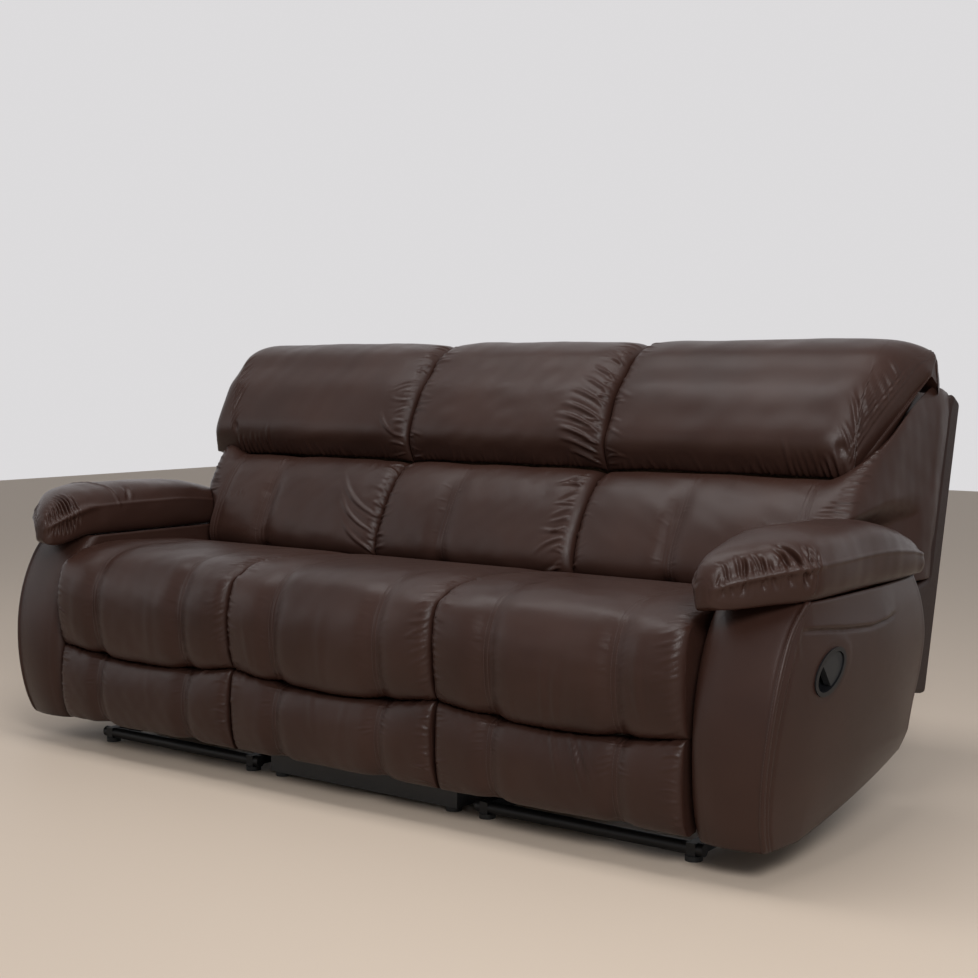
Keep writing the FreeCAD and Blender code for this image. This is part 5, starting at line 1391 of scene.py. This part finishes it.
def arm_pillow(side):
    """One arm pillow, with the gathers and folds round its nose."""
    mirror = MIRRORS[side]
    shape = smooth_line(PILLOW_STATIONS, 200)
    fine = []
    for index in range(len(shape) - 1):
        fine.append(shape[index])
        if shape[index][0] < 0.13:
            fine.append((shape[index] + shape[index + 1]) / 2)
    fine.append(shape[-1])
    shape = np.array(fine)
    grid = np.array([[(x, station[0], z) for x, z in pillow_ring(*station[1:])] for station in shape])
    # The nose hangs lower on the side towards the seat
    near_nose = np.clip((0.085 - grid[..., 1]) / 0.12, 0, 1)
    hang = NOSE_HANG * near_nose * (ARM_IN + PILLOW_MIDDLE - grid[..., 0]) / 0.1
    tall = (shape[:, 4] - shape[:, 3])[:, None]
    low_share = np.clip((ARM_TOP + shape[:, 4][:, None] - grid[..., 2]) / tall, 0, 1)
    grid[..., 2] -= hang * low_share
    rows = grid.shape[1]
    normals = -grid_normals(grid)
    path = run_length(grid)
    height_share = (grid[..., 2] - ARM_TOP - shape[:, 3][:, None]) / tall
    outer = np.arange(rows)[None, :] < rows / 2
    seam_rows = (int(np.argmin(np.abs(height_share[40, :rows // 2 - 8] - SEAM_SHARE))),
                 rows // 2 + 8 + int(np.argmin(np.abs(height_share[40, rows // 2 + 8:] - SEAM_SHARE))))
    out_seam, in_seam = (path[:, row:row + 1] for row in seam_rows)
    v = np.where(outer, path - out_seam, in_seam - path)
    spine = grid[:, seam_rows[0]]
    run = np.concatenate([[0.0], np.cumsum(np.linalg.norm(np.diff(spine, axis=0), axis=1))])[:, None]
    u = np.where(outer, run, -run) * np.ones((1, rows))
    seed = SEEDS[side] + 600
    move = np.zeros(u.shape)
    # The seam, deep round the nose and plain towards the rear
    nose = np.clip((0.235 - np.abs(u)) / 0.05, 0, 1)
    move -= 0.0085 * nose * bell(v, 0.008) * np.clip(np.abs(u) / 0.02 + 0.5, 0, 1)
    move -= 0.0024 * (1 - nose) * bell(v, 0.0028)
    move += 0.0016 * (1 - nose) * np.clip(v / 0.003, 0, 1) * bell(v, 0.02)
    # Gathers above and below it
    for way, count, long, high in ((1.0, 30, 0.038, 0.0046), (-1.0, 26, 0.026, 0.0030)):
        move += gathers(u, v, ((-0.16, 0.004 * way), (0.215, 0.004 * way)), (0.0, way), count,
                        long, 0.0042, high, seed + int(way), 0.25)
    for at, long, wide, high, leaning in NOSE_FOLDS[side]:
        move += fold(u, v, (at, 0.002), (at + leaning * long, long), wide, high, 0.05, 0.35)
        below = at + 0.003
        move += fold(u, v, (below, -0.002), (below - leaning * long * 0.5, -0.6 * long),
                     wide, 0.6 * high, 0.05, 0.35)
    if side == "right":
        # A short curved seam closes the gathers at the outer side
        bow = 0.205 - 0.16 * (v + 0.020) ** 2 / 0.04
        reach = np.clip((0.003 - v) / 0.004, 0, 1) * np.clip((v + 0.052) / 0.008, 0, 1)
        closing = -0.0030 * bell(u - bow, 0.0035) + 0.0014 * bell(u - bow - 0.007, 0.004)
        move += np.where(outer, reach, 0.0) * closing
    else:
        # A seam crosses the top, and a soft fold lies behind it
        across_at = grid[..., 1] - 0.165 + 0.16 * (grid[..., 0] - ARM_IN - PILLOW_MIDDLE)
        upper = np.clip((height_share - 0.5) / 0.1, 0, 1)
        move -= upper * 0.0030 * bell(across_at, 0.0034)
        move += fold(np.where(outer, 9.0, grid[..., 1]), v, (0.21, 0.0), (0.225, 0.055), 0.009, 0.0045, 0.03)
    pocket = np.sqrt(((grid[..., 1] - 0.595) / 0.020) ** 2 + ((height_share - 0.35) / 0.35) ** 2)
    move -= np.where(outer, 0.0100 * np.exp(-pocket ** 2), 0.0)
    move += gathers(grid[..., 1], v, ((0.575, 0.004), (0.606, 0.004)), (-0.8, 0.5), 5,
                    0.035, 0.004, 0.0020, seed + 7)
    move += 0.0014 * ripple(grid, 0.16, seed) + 0.0004 * ripple(grid, 0.05, seed + 1)
    free = np.clip((height_share - 0.02) / 0.10, 0, 1)
    ends = np.clip((shape[:, 2] - 0.010) / 0.040, 0, 1)[:, None]
    grid = grid + normals * (move * free * ends)[..., None]
    rest = np.where(grid[..., 1] > 0.085, ARM_TOP + 0.0006, ARM_TOP - 0.024)
    grid[..., 2] = np.maximum(grid[..., 2], rest)
    grid = grid[:, ::-1] if mirror < 0 else grid
    grid[..., 0] *= mirror
    grid[..., 1] += CREASE_Y
    piece = skin(side + "_arm_pillow_leather", grid[::-1], "root", True)
    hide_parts(side + "_arm_pad")


NOSE_FOLDS = {
    # distance round the nose to its outer side, length, width, height, slant
    "right": (
        (-0.045, 0.030, 0.0045, 0.0046, 0.30), (-0.015, 0.040, 0.0054, 0.0058, 0.40),
        (0.030, 0.035, 0.0054, 0.0058, 0.20), (0.070, 0.045, 0.0059, 0.0072, 0.20),
        (0.105, 0.042, 0.0054, 0.0058, 0.10), (0.150, 0.050, 0.0063, 0.0072, -0.20),
        (0.176, 0.062, 0.0077, 0.0123, -0.40), (0.192, 0.045, 0.0063, 0.0087, 0.30),
        (0.210, 0.030, 0.0045, 0.0058, 0.30)),
    "left": (
        (-0.150, 0.060, 0.0054, 0.0058, 0.20), (-0.128, 0.075, 0.0059, 0.0087, 0.15),
        (-0.112, 0.080, 0.0054, 0.0094, 0.10), (-0.098, 0.075, 0.0054, 0.0087, 0.10),
        (-0.082, 0.070, 0.0054, 0.0081, 0.00), (-0.066, 0.060, 0.0054, 0.0072, -0.10),
        (-0.050, 0.055, 0.0054, 0.0067, -0.10), (-0.030, 0.050, 0.0054, 0.0061, -0.20),
        (-0.008, 0.042, 0.0054, 0.0052, -0.20), (0.030, 0.035, 0.0054, 0.0043, 0.00),
        (0.090, 0.035, 0.0054, 0.0043, 0.00)),
}
for side in SIDES:
    arm_pillow(side)

# Release handles. A moulded cup with a rim is set in each arm's side, and a paddle that pulls the
# footrest latch turns on a pin across it.
cup_plastic = hard_finish("moulded_cup", (0.007, 0.007, 0.008, 1.0), (0.02, 0.02, 0.02, 1.0), 0.34, 0.0, 0.35)
PADDLE_GREY = (0.013, 0.0135, 0.0145, 1.0)
paddle_plastic = hard_finish("moulded_paddle", PADDLE_GREY, (0.03, 0.03, 0.03, 1.0), 0.45, 0.0, 0.5)
dress([side + "_release_cup" for side in SIDES], cup_plastic)
dress([side + "_release_paddle" for side in SIDES], paddle_plastic)

# The floor is plain and pale, and runs on past the view in every direction.
FLOOR_PALE = (0.58, 0.48, 0.39, 1.0)
FLOOR_HALF = 9.0


def floor():
    """The plain square of floor."""
    mesh = bpy.data.meshes.new("floor")
    corners = [(x * FLOOR_HALF, y * FLOOR_HALF, 0) for x, y in ((-1, -1), (1, -1), (1, 1), (-1, 1))]
    mesh.from_pydata(corners, [], [(0, 1, 2, 3)])
    material = bpy.data.materials.new("pale_floor")
    material.use_nodes = True
    material.node_tree.nodes["Principled BSDF"].inputs["Base Color"].default_value = FLOOR_PALE
    material.node_tree.nodes["Principled BSDF"].inputs["Roughness"].default_value = 0.6
    mesh.materials.append(material)
    piece = bpy.data.objects.new("floor", mesh)
    bpy.context.scene.collection.objects.link(piece)


floor()

# Studio light: a broad soft key from the front right, a long overhead strip and a weak fill.
def soft_lamp(name, at, towards, size, power):
    """A rectangular lamp turned towards a point."""
    light = bpy.data.lights.new(name, "AREA")
    light.shape = "RECTANGLE"
    light.size, light.size_y = size
    light.energy = power
    lamp = bpy.data.objects.new(name, light)
    lamp.location = at
    way = np.array(towards, float) - np.array(at, float)
    flat = math.hypot(way[0], way[1])
    lamp.rotation_euler = (math.atan2(flat, -way[2]), 0.0, math.atan2(way[1], way[0]) - math.pi / 2)
    bpy.context.scene.collection.objects.link(lamp)


soft_lamp("key", (3.1, -2.9, 2.5), (0.3, 0.0, 0.4), (1.5, 1.1), 118.0)
soft_lamp("overhead", (0.0, -0.6, 3.0), (0.0, -0.1, 0.5), (3.0, 0.9), 48.0)
soft_lamp("fill", (-3.4, -2.6, 1.8), (-0.2, 0.0, 0.5), (1.4, 1.4), 9.0)

world = bpy.data.worlds.new("pale_room")
world.use_nodes = True
bpy.context.scene.world = world
ROOM_PALE = (0.72, 0.71, 0.72, 1.0)
ROOM_LIGHT = (1.0, 1.0, 1.0, 1.0)
ROOM_STRENGTH = 0.27


def pale_room():
    """A weak light from all round, and a paler wall for the camera and for reflections."""
    n, link = world.node_tree.nodes, world.node_tree.links
    light = n["Background"]
    light.inputs["Color"].default_value = ROOM_LIGHT
    light.inputs["Strength"].default_value = ROOM_STRENGTH
    seen = n.new("ShaderNodeBackground")
    seen.inputs["Color"].default_value = ROOM_PALE
    ray = n.new("ShaderNodeLightPath")
    first = place(n, "ShaderNodeMath", operation="MAXIMUM")
    second = place(n, "ShaderNodeMath", operation="MAXIMUM")
    mix = n.new("ShaderNodeMixShader")
    link.new(ray.outputs["Is Camera Ray"], first.inputs[0])
    link.new(ray.outputs["Is Glossy Ray"], first.inputs[1])
    link.new(first.outputs[0], second.inputs[0])
    link.new(ray.outputs["Is Transmission Ray"], second.inputs[1])
    link.new(second.outputs[0], mix.inputs[0])
    link.new(light.outputs[0], mix.inputs[1])
    link.new(seen.outputs[0], mix.inputs[2])
    link.new(mix.outputs[0], n["World Output"].inputs["Surface"])


pale_room()
bpy.context.scene.view_settings.view_transform = "Standard"
